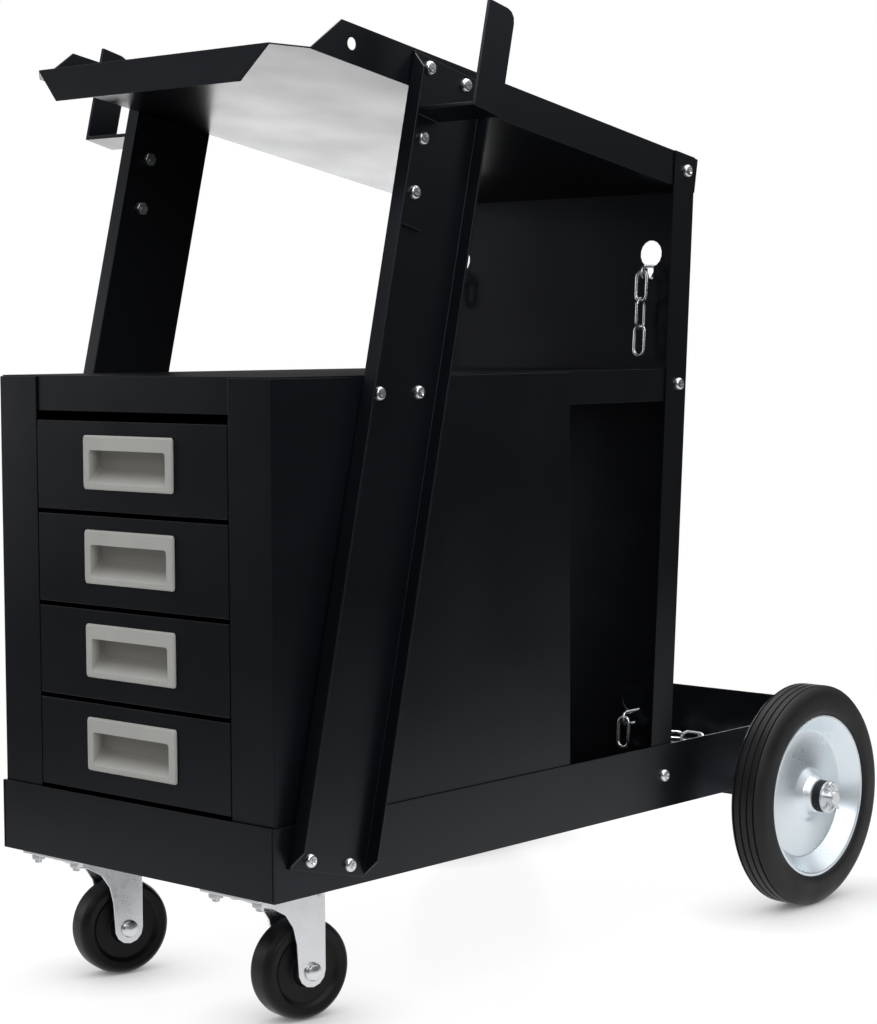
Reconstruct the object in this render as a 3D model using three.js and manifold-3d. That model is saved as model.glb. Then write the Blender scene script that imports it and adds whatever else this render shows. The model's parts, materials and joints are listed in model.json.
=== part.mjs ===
import * as THREE from 'three';
import { ConvexGeometry } from 'three/addons/geometries/ConvexGeometry.js';
import { mergeVertices } from 'three/addons/utils/BufferGeometryUtils.js';
import Module from 'manifold-3d';

// Welding cart with four drawers, a sloping top tray and a bottle tray at the rear.
// Millimetres, Z up, floor at Z 0. Y runs from the drawer fronts to the bottle tray.

// Fits
const FIT = 0.3;              // gap between pieces that are screwed together
const SLIDE_FIT = 0.6;        // gap beside a piece that slides or turns
const HOLE_FIT = 0.3;         // gap around a screw in its hole, on the radius
const PAST = 1000;            // how far a cut runs past the piece it goes through

// Wheels and axle
const WHEEL_R = 98;
const TYRE_WIDTH = 34;
const TYRE_GAP = 23;          // between the base tray and the tyre
const RIM_R = 72;
const HUB_R = 11;
const HUB_IN = 26;
const HUB_OUT = 23.5;
const AXLE_R = 6;
const AXLE_PIN_ROOM = 9;      // axle left outside the hub for its washer and pin
const AXLE_REAR = 143.5;      // axle to the rear edge of the base tray
const WHEEL_FACETS = 28;

// Base tray
const BASE_WIDTH = 305;
const BASE_LENGTH = 766;
const BASE_WALL = 54;
const BASE_SHEET = 1.5;
const BASE_SLIT = 0.7;        // open slit where two walls of the pan meet
const BASE_Z = WHEEL_R + AXLE_R + FIT;
const FLOOR_Z = BASE_Z + BASE_SHEET;
const WALL_TOP_Z = BASE_Z + BASE_WALL;
const WALL_X = BASE_WIDTH / 2;
const TYRE_MIDDLE_X = WALL_X + TYRE_GAP + TYRE_WIDTH / 2;
const AXLE_HALF = TYRE_MIDDLE_X + HUB_OUT + AXLE_PIN_ROOM;
const AXLE_Y = BASE_LENGTH - AXLE_REAR;

// Sheet layers from the wall inwards
const SHEET = 1.2;
const PANEL_X = WALL_X - BASE_SHEET - FIT;
const RAIL_X = PANEL_X - SHEET - FIT;

// Drawers
const DRAWERS = 4;
const DRAWER_SILL = 53.3;     // base tray's underside to the foot of the lowest drawer's space
const DRAWER_PITCH = 71.5;
const DRAWER_TOP_Z = BASE_Z + DRAWER_SILL + DRAWERS * DRAWER_PITCH;
const DRAWER_FRONT_WIDTH = 212;
const DRAWER_FRONT_HEIGHT = 68;
const DRAWER_BOX_WIDTH = 205;
const DRAWER_BOX_HEIGHT = 50;
const DRAWER_BOX_LIFT = 5;
const DRAWER_REAR_Y = 318;
const RUNNER_LAP = 9;
const RUNNER_GUIDE = 12;
const RUNNER_SETBACK = 12;
const RUNNER_REAR_GAP = 8;
const RUNNER_MARGIN = 8;      // rack plate below the top drawer's upper edge

// Drawer cabinet and shelf
const CABINET_FRONT_Y = 2.7;
const CABINET_REAR_Y = 339;
const STILE_WIDTH = 43.7;
const SHELF_RISE = 34.2;      // shelf over the upper edge of the top drawer
const SHELF_Z = DRAWER_TOP_Z + SHELF_RISE;
const SHELF_FLANGE = 27;
const BACK_FLANGE = 20;

// Drawer pulls
const PULL_WIDTH = 100;
const PULL_HEIGHT = 41;
const PULL_CORNER = 2.5;
const PULL_FRAME = 2.4;
const PULL_EDGE = 1.3;
const PULL_RISE = 3;
const PULL_CUP_DEPTH = 7.5;
const PULL_CUP_TAPER = 5;
const PULL_CUP_RAMP = 10;
const PULL_WALL = 1.6;
const PULL_SIDE = 7;
const PULL_TOP = 12;
const PULL_BOTTOM = 3;

// Rear panel and its keyholes
const PANEL_LEAN = THREE.MathUtils.degToRad(3.8);
const PANEL_FOOT_Y = 473.8;
const PANEL_FLANGE = 28;
const PANEL_SCREW_IN = 11;
const PANEL_TOP_SCREW_DROP = 68.2;
const KEYHOLE_X = 109;
const KEYHOLE_R = 11.3;
const KEYHOLE_SLOT = 7;
const KEYHOLE_DROP = 23;
const KEYHOLE_Z = [BASE_Z + 88, SHELF_Z + 98.5];

// Top tray
const TRAY_SLOPE = THREE.MathUtils.degToRad(10);
const BAY_HEIGHT = 234.7;     // shelf to the front fold of the tray
const TRAY_FRONT_Y = 27.3;
const TRAY_FRONT_Z = SHELF_Z + BAY_HEIGHT;
const TRAY_LENGTH = 492;
const TRAY_RAIL = 29;
const TRAY_RAIL_START = 19;
const TRAY_LIP = 25;
const TRAY_LIP_HALF = 127;
const TRAY_HOLE_S = 61;
const TRAY_HOLE_R = 4.5;

// Sloping side posts: U runs up along a post from its foot screws, V across it to the rear
const POST_LEAN = THREE.MathUtils.degToRad(13.6);
const POST_FOOT_Y = 53.8;
const POST_FOOT_RISE = 21.8;
const POST_FOOT_Z = BASE_Z + POST_FOOT_RISE;
const POST_WIDTH = 80;
const POST_FLANGE = 13;
const POST_SHEET = 2;
const POST_END = 8;
const POST_SCREW_SPACING = 42;
const POST_SHELF_SCREW_U = (SHELF_Z - SHELF_FLANGE / 2 - POST_FOOT_Z) / Math.cos(POST_LEAN);
const POST_SHELF_SCREW_V = -2.5;
const POST_TOP_SCREW_DROP = 12.8;
const POST_TOP_SCREW_U = (TRAY_FRONT_Z - POST_TOP_SCREW_DROP - POST_FOOT_Z) / Math.cos(POST_LEAN);
const POST_TOP_SCREW_V = -1.5;

// Cable hooks
const HOOK_WIDTH = 30;
const HOOK_SHEET = 3;
const HOOK_V = -22.3;
const HOOK_BEND_U = POST_TOP_SCREW_U - 34.7;
const HOOK_FOOT_U = HOOK_BEND_U - 86.6;
const HOOK_TOP_U = HOOK_BEND_U + 76.7;
const HOOK_OUT_X = 215;
const HOOK_SCREW_U = [HOOK_BEND_U - 60.8, HOOK_BEND_U - 19.2];
const HOOK_ROUND = 9;

// Screws
const SCREW_R = 3;
const SCREW_HEAD_R = 5.4;
const SCREW_HEAD = 3.4;
const SCREW_LENGTH = 11;

// Casters
const CASTER_X = 102;
const CASTER_Y = 43;
const CASTER_TURN = { right: THREE.MathUtils.degToRad(11), left: THREE.MathUtils.degToRad(16) };
const CASTER_WHEEL_R = 38;
const CASTER_WHEEL_WIDTH = 26;
const CASTER_TRAIL = 27;
const CASTER_PLATE_X = 62;
const CASTER_PLATE_Y = 80;
const CASTER_PLATE = 2.5;
const CASTER_HOLES_X = 46;
const CASTER_HOLES_Y = 62;
const CASTER_RACE_R = 23;
const CASTER_RACE = 4;
const CASTER_PIN_R = 5;
const CASTER_PIN_HEAD_R = 9;
const CASTER_FORK = 2.5;
const CASTER_FORK_FRONT = 22;
const CASTER_LEG_R = 12;
const CASTER_AXLE_R = 4;
const CASTER_FACETS = 20;

// Chains
const LINK_LENGTH = 29;
const LINK_WIDTH = 14;
const LINK_WIRE_R = 1.6;
const LINK_BITE = 0.8;        // how far neighbouring links press into each other
const LINK_PITCH = LINK_LENGTH - 4 * LINK_WIRE_R + LINK_BITE;
const LINK_HALF = (LINK_WIDTH / 2 - LINK_WIRE_R) * Math.sin(Math.PI / 3) + LINK_WIRE_R;
const UPPER_RUN_LINKS = 25;
const UPPER_TAILS = { right: 3, left: 1 };
const LOWER_TAILS = { right: 1, left: 1 };

const wasm = await Module();
wasm.setup();

const paint = { color: 0x17181b, roughness: 0.38, metalness: 0.15 };
const zinc = { color: 0xc6cad0, roughness: 0.3, metalness: 0.85 };
const plastic = { color: 0xb6b4ad, roughness: 0.55, metalness: 0 };
const rubber = { color: 0x1c1c1e, roughness: 0.8, metalness: 0 };

const cart = new THREE.Group();
cart.name = 'welding_cart';

// Shaping helpers

function solid(geometry) {
  const clean = geometry.clone();
  clean.deleteAttribute('normal');
  clean.deleteAttribute('uv');
  const merged = mergeVertices(clean, 1e-4);
  const mesh = new wasm.Mesh({
    numProp: 3,
    vertProperties: new Float32Array(merged.attributes.position.array),
    triVerts: new Uint32Array(merged.index.array),
  });
  return new wasm.Manifold(mesh);
}

function join(geometries) {
  return geometries.map(solid).reduce((whole, next) => whole.add(next));
}

function cut(body, geometries) {
  return geometries.map(solid).reduce((rest, tool) => rest.subtract(tool), body);
}

function shapeOf(body) {
  const shape = body.getMesh();
  const geometry = new THREE.BufferGeometry();
  geometry.setAttribute('position', new THREE.BufferAttribute(new Float32Array(shape.vertProperties), 3));
  geometry.setIndex(new THREE.BufferAttribute(new Uint32Array(shape.triVerts), 1));
  return geometry;
}

function addPart(name, body, look) {
  const geometry = shapeOf(body).translate(0, -BASE_LENGTH / 2, 0);
  geometry.computeVertexNormals();
  const mesh = new THREE.Mesh(geometry, new THREE.MeshStandardMaterial(look));
  mesh.name = name;
  cart.add(mesh);
}

function box(x, y, z) {
  const geometry = new THREE.BoxGeometry(x[1] - x[0], y[1] - y[0], z[1] - z[0]);
  return geometry.translate((x[0] + x[1]) / 2, (y[0] + y[1]) / 2, (z[0] + z[1]) / 2);
}

function prism(points, depth) {
  const shape = new THREE.Shape(points.map(([a, b]) => new THREE.Vector2(a, b)));
  return new THREE.ExtrudeGeometry(shape, { depth, bevelEnabled: false, curveSegments: 6 });
}

// Outline in Y and Z, thick in X.
function prismX(points, x) {
  const turn = new THREE.Matrix4().makeBasis(
    new THREE.Vector3(0, 1, 0), new THREE.Vector3(0, 0, 1), new THREE.Vector3(1, 0, 0));
  return prism(points, x[1] - x[0]).applyMatrix4(turn).translate(x[0], 0, 0);
}

// Outline in X and Z, thick in Y.
function prismY(points, y) {
  return prism(points, y[1] - y[0]).rotateX(Math.PI / 2).translate(0, y[1], 0);
}

// Ring or disc turned about the X axis; its flats lie at the given radii.
function turnedX(profile, facets) {
  const grow = 1 / Math.cos(Math.PI / facets);
  const points = profile.map(([x, r]) => new THREE.Vector2(r * grow, x));
  const geometry = new THREE.LatheGeometry(points, facets, Math.PI / facets);
  return geometry.rotateZ(-Math.PI / 2);
}

// Ring about the X axis; its closed profile starts along the bore.
function ringX(profile, facets) {
  return turnedX([...profile].reverse(), facets);
}

function turnedZ(profile, facets) {
  const grow = 1 / Math.cos(Math.PI / facets);
  const points = profile.map(([z, r]) => new THREE.Vector2(r * grow, z));
  return new THREE.LatheGeometry(points, facets).rotateX(Math.PI / 2);
}

function rodX(radius, x, y, z, facets = 8) {
  const profile = [[x[0], 0], [x[0], radius], [x[1], radius], [x[1], 0]];
  return turnedX(profile, facets).translate(0, y, z);
}

function rodY(radius, x, y, z, facets = 16) {
  return rodX(radius, y, 0, 0, facets).rotateZ(Math.PI / 2).translate(x, 0, z);
}

// A finished body or a geometry, moved into its place on the cart.
function placed(shape, matrix) {
  const geometry = shape.isBufferGeometry ? shape : shapeOf(shape);
  return geometry.applyMatrix4(matrix);
}

const sides = [{ name: 'right', sign: 1 }, { name: 'left', sign: -1 }];

function mirrored(geometry, sign) {
  if (sign > 0) {
    return geometry;
  }
  const turned = geometry.index ? geometry.toNonIndexed() : geometry;
  turned.scale(-1, 1, 1);
  const p = turned.attributes.position.array;
  for (let i = 0; i < p.length; i += 9) {
    for (let k = 0; k < 3; k += 1) {
      const kept = p[i + 3 + k];
      p[i + 3 + k] = p[i + 6 + k];
      p[i + 6 + k] = kept;
    }
  }
  return turned;
}

// Frames of the leaning pieces

const postTopRise = POST_TOP_SCREW_U * Math.cos(POST_LEAN) + POST_FOOT_RISE - BASE_WALL;
const POST_TILT = Math.atan((WALL_X - RAIL_X) / postTopRise);

// Post frame: x out from the web, y across the post towards the rear, z along it upwards.
const postFrame = new THREE.Matrix4()
  .makeTranslation(WALL_X + FIT, 0, WALL_TOP_Z)
  .multiply(new THREE.Matrix4().makeRotationY(-POST_TILT))
  .multiply(new THREE.Matrix4().makeTranslation(0, POST_FOOT_Y, POST_FOOT_Z - WALL_TOP_Z))
  .multiply(new THREE.Matrix4().makeRotationX(-POST_LEAN));

// Tray frame: y back along the tray floor, z square to it, from the front fold.
const trayFrame = new THREE.Matrix4()
  .makeTranslation(0, TRAY_FRONT_Y, TRAY_FRONT_Z)
  .multiply(new THREE.Matrix4().makeRotationX(-TRAY_SLOPE));

// Rear panel frame: y 0 on the rear face, z up along the panel from the base floor.
const panelFrame = new THREE.Matrix4()
  .makeTranslation(0, PANEL_FOOT_Y, FLOOR_Z)
  .multiply(new THREE.Matrix4().makeRotationX(-PANEL_LEAN));

function panelPoint(x, depth, z) {
  const along = (z - FLOOR_Z) / Math.cos(PANEL_LEAN);
  return new THREE.Vector3(x, -depth, along).applyMatrix4(panelFrame);
}

function postPoint(u, v) {
  return new THREE.Vector3(POST_SHEET, v, u).applyMatrix4(postFrame);
}

// Screw places: the point under the head on the right side of the cart.

const screws = [];

function addScrew(name, x, y, z) {
  screws.push({ name, x: x + FIT / 2, y, z });
}

[-1, 1].forEach((end) => {
  const part = end < 0 ? 'front' : 'rear';
  const half = end * POST_SCREW_SPACING / 2;
  const foot = postPoint(0, half);
  addScrew(`post_foot_${part}`, foot.x, foot.y, foot.z);
  const shelfV = POST_SHELF_SCREW_V + half;
  const shelf = postPoint(POST_SHELF_SCREW_U + shelfV * Math.tan(POST_LEAN), shelfV);
  addScrew(`post_shelf_${part}`, shelf.x, shelf.y, shelf.z);
  const top = postPoint(POST_TOP_SCREW_U, POST_TOP_SCREW_V + half);
  addScrew(`post_top_${part}`, top.x, top.y, top.z);
});
HOOK_SCREW_U.forEach((u, i) => {
  const point = postPoint(u, HOOK_V);
  addScrew(`hook_${i === 0 ? 'lower' : 'upper'}`, point.x + HOOK_SHEET + FIT, point.y, point.z);
});
const panelFoot = panelPoint(0, PANEL_SCREW_IN, BASE_Z + BASE_WALL / 2);
addScrew('panel_foot', WALL_X, panelFoot.y, panelFoot.z);
const panelShelf = panelPoint(0, PANEL_SCREW_IN, SHELF_Z - SHELF_FLANGE / 2);
addScrew('panel_shelf', PANEL_X, panelShelf.y, panelShelf.z);
const panelTop = panelPoint(0, PANEL_SCREW_IN, TRAY_FRONT_Z - PANEL_TOP_SCREW_DROP);
addScrew('panel_top', PANEL_X, panelTop.y, panelTop.z);

const screwHoles = sides.flatMap(({ sign }) => screws.map((s) => {
  const x = sign > 0 ? [s.x - 30, s.x + 10] : [-s.x - 10, -s.x + 30];
  return rodX(SCREW_R + HOLE_FIT, x, s.y, s.z);
}));

// Base tray: one folded pan that carries the cabinet and the gas bottle.
const slitX = WALL_X - BASE_SHEET - BASE_SLIT;
const cornerSlits = [[-slitX - BASE_SLIT, -slitX], [slitX, slitX + BASE_SLIT]].map((x) =>
  box(x, [-PAST, PAST], [FLOOR_Z, WALL_TOP_Z + 10]));
const basePan = cut(solid(box([-WALL_X, WALL_X], [0, BASE_LENGTH], [BASE_Z, WALL_TOP_Z])), [
  box([-WALL_X + BASE_SHEET, WALL_X - BASE_SHEET], [BASE_SHEET, BASE_LENGTH - BASE_SHEET],
    [FLOOR_Z, WALL_TOP_Z + 10]),
  ...cornerSlits, ...screwHoles,
]);
addPart('base_tray', basePan, paint);

// Cabinet sides: each panel is folded in at the front to make the stile beside the drawers.
const sideTopZ = SHELF_Z - 1;
const sideFootZ = FLOOR_Z + FIT;
sides.forEach(({ name, sign }) => {
  const profile = [
    [PANEL_X, CABINET_FRONT_Y], [PANEL_X, CABINET_REAR_Y], [PANEL_X - SHEET, CABINET_REAR_Y],
    [PANEL_X - SHEET, CABINET_FRONT_Y + SHEET], [PANEL_X - STILE_WIDTH, CABINET_FRONT_Y + SHEET],
    [PANEL_X - STILE_WIDTH, CABINET_FRONT_Y],
  ];
  const panel = mirrored(prism(profile, sideTopZ - sideFootZ).translate(0, 0, sideFootZ), sign);
  addPart(`${name}_side_panel`, cut(solid(panel), screwHoles), paint);
});

// Mid shelf: a pan turned upside down; its front flange is the rail over the drawers.
const shelfFrontY = CABINET_FRONT_Y + SHEET + FIT;
const shelfRearY = panelPoint(0, SHEET + FIT, SHELF_Z - SHELF_FLANGE).y;
const shelf = cut(solid(box([-RAIL_X, RAIL_X], [shelfFrontY, shelfRearY], [SHELF_Z - SHELF_FLANGE, SHELF_Z])), [
  box([-RAIL_X + SHEET, RAIL_X - SHEET], [shelfFrontY + SHEET, shelfRearY - SHEET],
    [SHELF_Z - SHELF_FLANGE - 10, SHELF_Z - SHEET]),
  ...screwHoles,
]);
addPart('mid_shelf', shelf, paint);

// Cabinet back: a channel between the two sides.
const backHalf = PANEL_X - SHEET - FIT;
const backProfile = [
  [-backHalf, CABINET_REAR_Y], [-backHalf, CABINET_REAR_Y - BACK_FLANGE],
  [-backHalf + SHEET, CABINET_REAR_Y - BACK_FLANGE], [-backHalf + SHEET, CABINET_REAR_Y - SHEET],
  [backHalf - SHEET, CABINET_REAR_Y - SHEET], [backHalf - SHEET, CABINET_REAR_Y - BACK_FLANGE],
  [backHalf, CABINET_REAR_Y - BACK_FLANGE], [backHalf, CABINET_REAR_Y],
];
const backTopZ = SHELF_Z - SHELF_FLANGE - FIT;
addPart('cabinet_back', solid(prism(backProfile, backTopZ - sideFootZ).translate(0, 0, sideFootZ)), paint);

// Runner racks: a plate on each cabinet side with one ledge and guide under every drawer.
const boxHalf = DRAWER_BOX_WIDTH / 2;
const drawerTops = Array.from({ length: DRAWERS }, (_, i) => DRAWER_TOP_Z - i * DRAWER_PITCH);
const boxFootOf = (top) => top - DRAWER_FRONT_HEIGHT + DRAWER_BOX_LIFT;
const rackY = [CABINET_FRONT_Y + SHEET + RUNNER_SETBACK, CABINET_REAR_Y - BACK_FLANGE - RUNNER_REAR_GAP];
const guideX = boxHalf + SLIDE_FIT;
sides.forEach(({ name, sign }) => {
  const rackTop = drawerTops[0] - RUNNER_MARGIN;
  const rackFoot = boxFootOf(drawerTops[DRAWERS - 1]) - RUNNER_MARGIN;
  const pieces = [box([backHalf - SHEET, backHalf], rackY, [rackFoot, rackTop])];
  drawerTops.forEach((top) => {
    const ledge = boxFootOf(top) - FIT;
    pieces.push(box([boxHalf - RUNNER_LAP, backHalf - SHEET / 2], rackY, [ledge - SHEET, ledge]));
    pieces.push(box([guideX, guideX + SHEET], rackY, [ledge - SHEET / 2, ledge + RUNNER_GUIDE]));
  });
  addPart(`${name}_runner_rack`, join(pieces.map((g) => mirrored(g, sign))), zinc);
});

// Drawers: an open steel box behind a flat front that has the window for its pull.
const frontHalf = DRAWER_FRONT_WIDTH / 2;
const cupHalf = PULL_WIDTH / 2 - 4;
const cupHigh = PULL_HEIGHT / 2 - 4;
const slabQuarters = [[1, 1], [-1, 1], [-1, -1], [1, -1]];
const slabSteps = [0, 0.25, 0.5, 0.75, 1];
const drawerFrontY = CABINET_FRONT_Y;
drawerTops.forEach((top, i) => {
  const foot = top - DRAWER_FRONT_HEIGHT;
  const boxFoot = boxFootOf(top);
  const boxTop = boxFoot + DRAWER_BOX_HEIGHT;
  const pullZ = (top + foot) / 2 + PULL_RISE;
  const hull = solid(box([-boxHalf, boxHalf], [drawerFrontY + SHEET / 2, DRAWER_REAR_Y], [boxFoot, boxTop]));
  const hollow = box([-boxHalf + SHEET, boxHalf - SHEET], [drawerFrontY + SHEET, DRAWER_REAR_Y - SHEET],
    [boxFoot + SHEET, boxTop + 10]);
  const front = solid(box([-frontHalf, frontHalf], [drawerFrontY, drawerFrontY + SHEET], [foot, top]));
  const windowY = [drawerFrontY - PULL_FRAME, drawerFrontY + PULL_FRAME];
  const window = box([-cupHalf, cupHalf], windowY, [pullZ - cupHigh, pullZ + cupHigh]);
  const drawer = cut(cut(hull, [hollow]).add(front), [window]);
  addPart(`drawer_${i + 1}`, drawer, paint);

  // Pull: a moulded frame with a shallow cup behind it, its foot a ramp, pushed into the window.
  const frameBack = drawerFrontY - FIT;
  const frameFront = frameBack - PULL_FRAME;
  const slab = (halfX, lowZ, highZ, y) => slabQuarters.flatMap(([sideX, sideZ], quarter) => {
    const x = sideX * (halfX - PULL_CORNER);
    const z = pullZ + (sideZ > 0 ? highZ - PULL_CORNER : lowZ + PULL_CORNER);
    return slabSteps.map((step) => {
      const angle = (quarter + step) * Math.PI / 2;
      return new THREE.Vector3(x + PULL_CORNER * Math.cos(angle), y, z + PULL_CORNER * Math.sin(angle));
    });
  });
  const halfW = PULL_WIDTH / 2;
  const halfH = PULL_HEIGHT / 2;
  const frame = new ConvexGeometry([
    ...slab(halfW, -halfH, halfH, frameBack),
    ...slab(halfW, -halfH, halfH, frameFront + PULL_EDGE),
    ...slab(halfW - PULL_EDGE, -halfH + PULL_EDGE, halfH - PULL_EDGE, frameFront),
  ]);
  const cupX = cupHalf - FIT;
  const cupZ = cupHigh - FIT;
  const cupEnd = drawerFrontY + PULL_CUP_DEPTH;
  const cup = new ConvexGeometry([
    ...slab(cupX, -cupZ, cupZ, frameBack - 0.5),
    ...slab(cupX, -cupZ, cupZ, drawerFrontY + SHEET + FIT),
    ...slab(cupX - PULL_CUP_TAPER, -cupZ + PULL_CUP_RAMP, cupZ, cupEnd),
  ]);
  const openX = halfW - PULL_SIDE;
  const pocketX = cupX - PULL_CUP_TAPER - PULL_WALL;
  const pocket = new ConvexGeometry([
    ...slab(openX, -halfH + PULL_BOTTOM, halfH - PULL_TOP, frameFront - 1),
    ...slab(pocketX, -cupZ + PULL_CUP_RAMP + PULL_WALL, cupZ - PULL_WALL, cupEnd - PULL_WALL),
  ]);
  addPart(`drawer_pull_${i + 1}`, cut(join([frame, cup]), [pocket]), plastic);
});

// Rear panel: leans back, folded forward at both sides, with four keyholes for the chains.
const panelTall = TRAY_FRONT_Z - BASE_Z;
const panelFold = cut(solid(box([-PANEL_X, PANEL_X], [-PANEL_FLANGE, 0], [-PANEL_FLANGE, panelTall])), [
  box([-PANEL_X + SHEET, PANEL_X - SHEET], [-PAST, -SHEET], [-PAST, panelTall + PAST]),
]);
const panelShell = solid(placed(panelFold, panelFrame));
const trayShadow = placed(box([-RAIL_X - FIT / 2, RAIL_X + FIT / 2], [-PAST, PAST], [-FIT, PAST]), trayFrame);
const overRail = placed(box([-PAST, PAST], [-PAST, PAST], [TRAY_RAIL, PAST]), trayFrame);
const underFloor = box([-PAST, PAST], [-PAST, PAST], [-PAST, FLOOR_Z + FIT]);
const keyholes = KEYHOLE_Z.flatMap((z) => [-KEYHOLE_X, KEYHOLE_X].flatMap((x) => {
  const y = [-PAST, PAST];
  const half = KEYHOLE_SLOT / 2;
  const low = z - KEYHOLE_DROP + half;
  return [rodY(KEYHOLE_R, x, y, z), box([x - half, x + half], y, [low, z]), rodY(half, x, y, low)];
}));
addPart('rear_panel', cut(panelShell, [trayShadow, overRail, underFloor, ...keyholes, ...screwHoles]), paint);

// Side posts: sloping channels, open outwards, flange ends clipped at 45 degrees.
const postEnds = [-POST_END, POST_TOP_SCREW_U + POST_END];
sides.forEach(({ name, sign }) => {
  const half = POST_WIDTH / 2;
  const web = box([0, POST_SHEET], [-half, half], postEnds);
  const flanges = [-half, half - POST_SHEET].map((v) => {
    const outline = [
      [0, postEnds[0]], [POST_FLANGE, postEnds[0] + POST_FLANGE],
      [POST_FLANGE, postEnds[1] - POST_FLANGE], [0, postEnds[1]],
    ];
    return prismY(outline, [v, v + POST_SHEET]);
  });
  const channel = mirrored(placed(join([web, ...flanges]), postFrame), sign);
  addPart(`${name}_post`, cut(solid(channel), screwHoles), paint);
});

// Cable hooks: a strip folded out from the post and up again, free corners rounded.
sides.forEach(({ name, sign }) => {
  const half = HOOK_WIDTH / 2;
  const inX = POST_SHEET + FIT;
  const outX = HOOK_OUT_X - postPoint(HOOK_TOP_U, HOOK_V).x + POST_SHEET;
  const vs = [HOOK_V - half, HOOK_V + half];
  const leg = box([inX, inX + HOOK_SHEET], vs, [HOOK_FOOT_U, HOOK_BEND_U]);
  const shelfPlate = box([inX, outX], vs, [HOOK_BEND_U - HOOK_SHEET, HOOK_BEND_U]);
  const armOutline = [[vs[0], HOOK_BEND_U - HOOK_SHEET], [vs[1], HOOK_BEND_U - HOOK_SHEET]];
  [0, 1, 2, 3].forEach((step) => {
    const a = step / 3 * Math.PI / 2;
    armOutline.push([
      vs[1] - HOOK_ROUND + HOOK_ROUND * Math.cos(a), HOOK_TOP_U - HOOK_ROUND + HOOK_ROUND * Math.sin(a)]);
  });
  armOutline.push([vs[0], HOOK_TOP_U]);
  const arm = prismX(armOutline, [outX - HOOK_SHEET, outX]);
  const strip = mirrored(placed(join([leg, shelfPlate, arm]), postFrame), sign);
  addPart(`${name}_hook`, cut(solid(strip), screwHoles), paint);
});

// Top tray: slopes down to the rear; rails at the sides and rear, a lip folded down in front.
const trayPlan = [
  [-TRAY_LIP_HALF, 0], [TRAY_LIP_HALF, 0], [RAIL_X, TRAY_RAIL_START], [RAIL_X, TRAY_LENGTH],
  [-RAIL_X, TRAY_LENGTH], [-RAIL_X, TRAY_RAIL_START],
];
const railOutline = [
  [TRAY_RAIL_START, 0], [TRAY_LENGTH, 0], [TRAY_LENGTH, TRAY_RAIL],
  [TRAY_RAIL_START + TRAY_RAIL, TRAY_RAIL],
];
const lipFoot = TRAY_LIP_HALF - TRAY_LIP;
const lipOutline = [
  [-TRAY_LIP_HALF, SHEET], [-TRAY_LIP_HALF, 0], [-lipFoot, -TRAY_LIP], [lipFoot, -TRAY_LIP],
  [TRAY_LIP_HALF, 0], [TRAY_LIP_HALF, SHEET],
];
const trayPieces = [
  prism(trayPlan, SHEET),
  prismX(railOutline, [RAIL_X - SHEET, RAIL_X]),
  prismX(railOutline, [-RAIL_X, -RAIL_X + SHEET]),
  box([-RAIL_X, RAIL_X], [TRAY_LENGTH - SHEET, TRAY_LENGTH], [0, TRAY_RAIL]),
  prismY(lipOutline, [0, SHEET]),
];
const trayHole = rodX(TRAY_HOLE_R, [-PAST, PAST], TRAY_HOLE_S, TRAY_RAIL / 2, 12);
const trayFold = cut(join(trayPieces), [trayHole]);
addPart('top_tray', cut(solid(placed(trayFold, trayFrame)), screwHoles), paint);

// Screws: domed zinc heads outside, shanks through the sheets.
sides.forEach(({ name, sign }) => {
  screws.forEach((s) => {
    const profile = [
      [-SCREW_LENGTH, 0], [-SCREW_LENGTH, SCREW_R], [0, SCREW_R], [0, SCREW_HEAD_R],
      [SCREW_HEAD, SCREW_HEAD_R * 0.6], [SCREW_HEAD, 0],
    ];
    const screw = turnedX(profile, 8).translate(s.x, s.y, s.z);
    addPart(`${name}_screw_${s.name}`, solid(mirrored(screw, sign)), zinc);
  });
});

// Rear axle and the folded channel that holds it under the base.
addPart('rear_axle', solid(rodX(AXLE_R, [-AXLE_HALF, AXLE_HALF], AXLE_Y, WHEEL_R, 16)), zinc);
const clampTop = BASE_Z - FIT;
const clampIn = AXLE_R + FIT + 0.2;
const clampOut = clampIn + POST_SHEET;
const clampProfile = [
  [AXLE_Y - clampOut - 20, clampTop], [AXLE_Y - clampOut - 20, clampTop - POST_SHEET],
  [AXLE_Y - clampOut, clampTop - POST_SHEET], [AXLE_Y - clampOut, WHEEL_R - clampOut],
  [AXLE_Y + clampOut, WHEEL_R - clampOut], [AXLE_Y + clampOut, clampTop - POST_SHEET],
  [AXLE_Y + clampOut + 20, clampTop - POST_SHEET], [AXLE_Y + clampOut + 20, clampTop],
  [AXLE_Y + clampIn, clampTop], [AXLE_Y + clampIn, WHEEL_R - clampIn],
  [AXLE_Y - clampIn, WHEEL_R - clampIn], [AXLE_Y - clampIn, clampTop],
];
addPart('axle_clamp', solid(prismX(clampProfile, [-WALL_X + 14, WALL_X - 14])), paint);

// Rear wheels: pressed zinc rim on a hub tube, ribbed rubber tyre around it.
const tyreHalf = TYRE_WIDTH / 2;
const bore = AXLE_R + FIT;
const rimHalf = tyreHalf - 2.5;
const wellHalf = rimHalf - 8;
const wellR = RIM_R - 4;
const rimProfile = [
  [-HUB_IN, bore], [HUB_OUT, bore], [HUB_OUT, HUB_R], [5, HUB_R + 3], [1, HUB_R + 15], [-1, RIM_R - 24],
  [1.5, RIM_R - 16], [rimHalf - 4, RIM_R - 7], [rimHalf, RIM_R - 3], [rimHalf, RIM_R], [wellHalf, wellR],
  [-wellHalf, wellR], [-rimHalf, RIM_R], [-rimHalf, RIM_R - 3], [-wellHalf, wellR - 3], [0.5, wellR - 4],
  [-4, RIM_R - 22], [-4, HUB_R + 15], [-3, HUB_R + 3], [-HUB_IN, HUB_R], [-HUB_IN, bore],
];
const seat = 0.4;
const grooveX = tyreHalf * 0.48;
const groove = 2.4;
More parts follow.
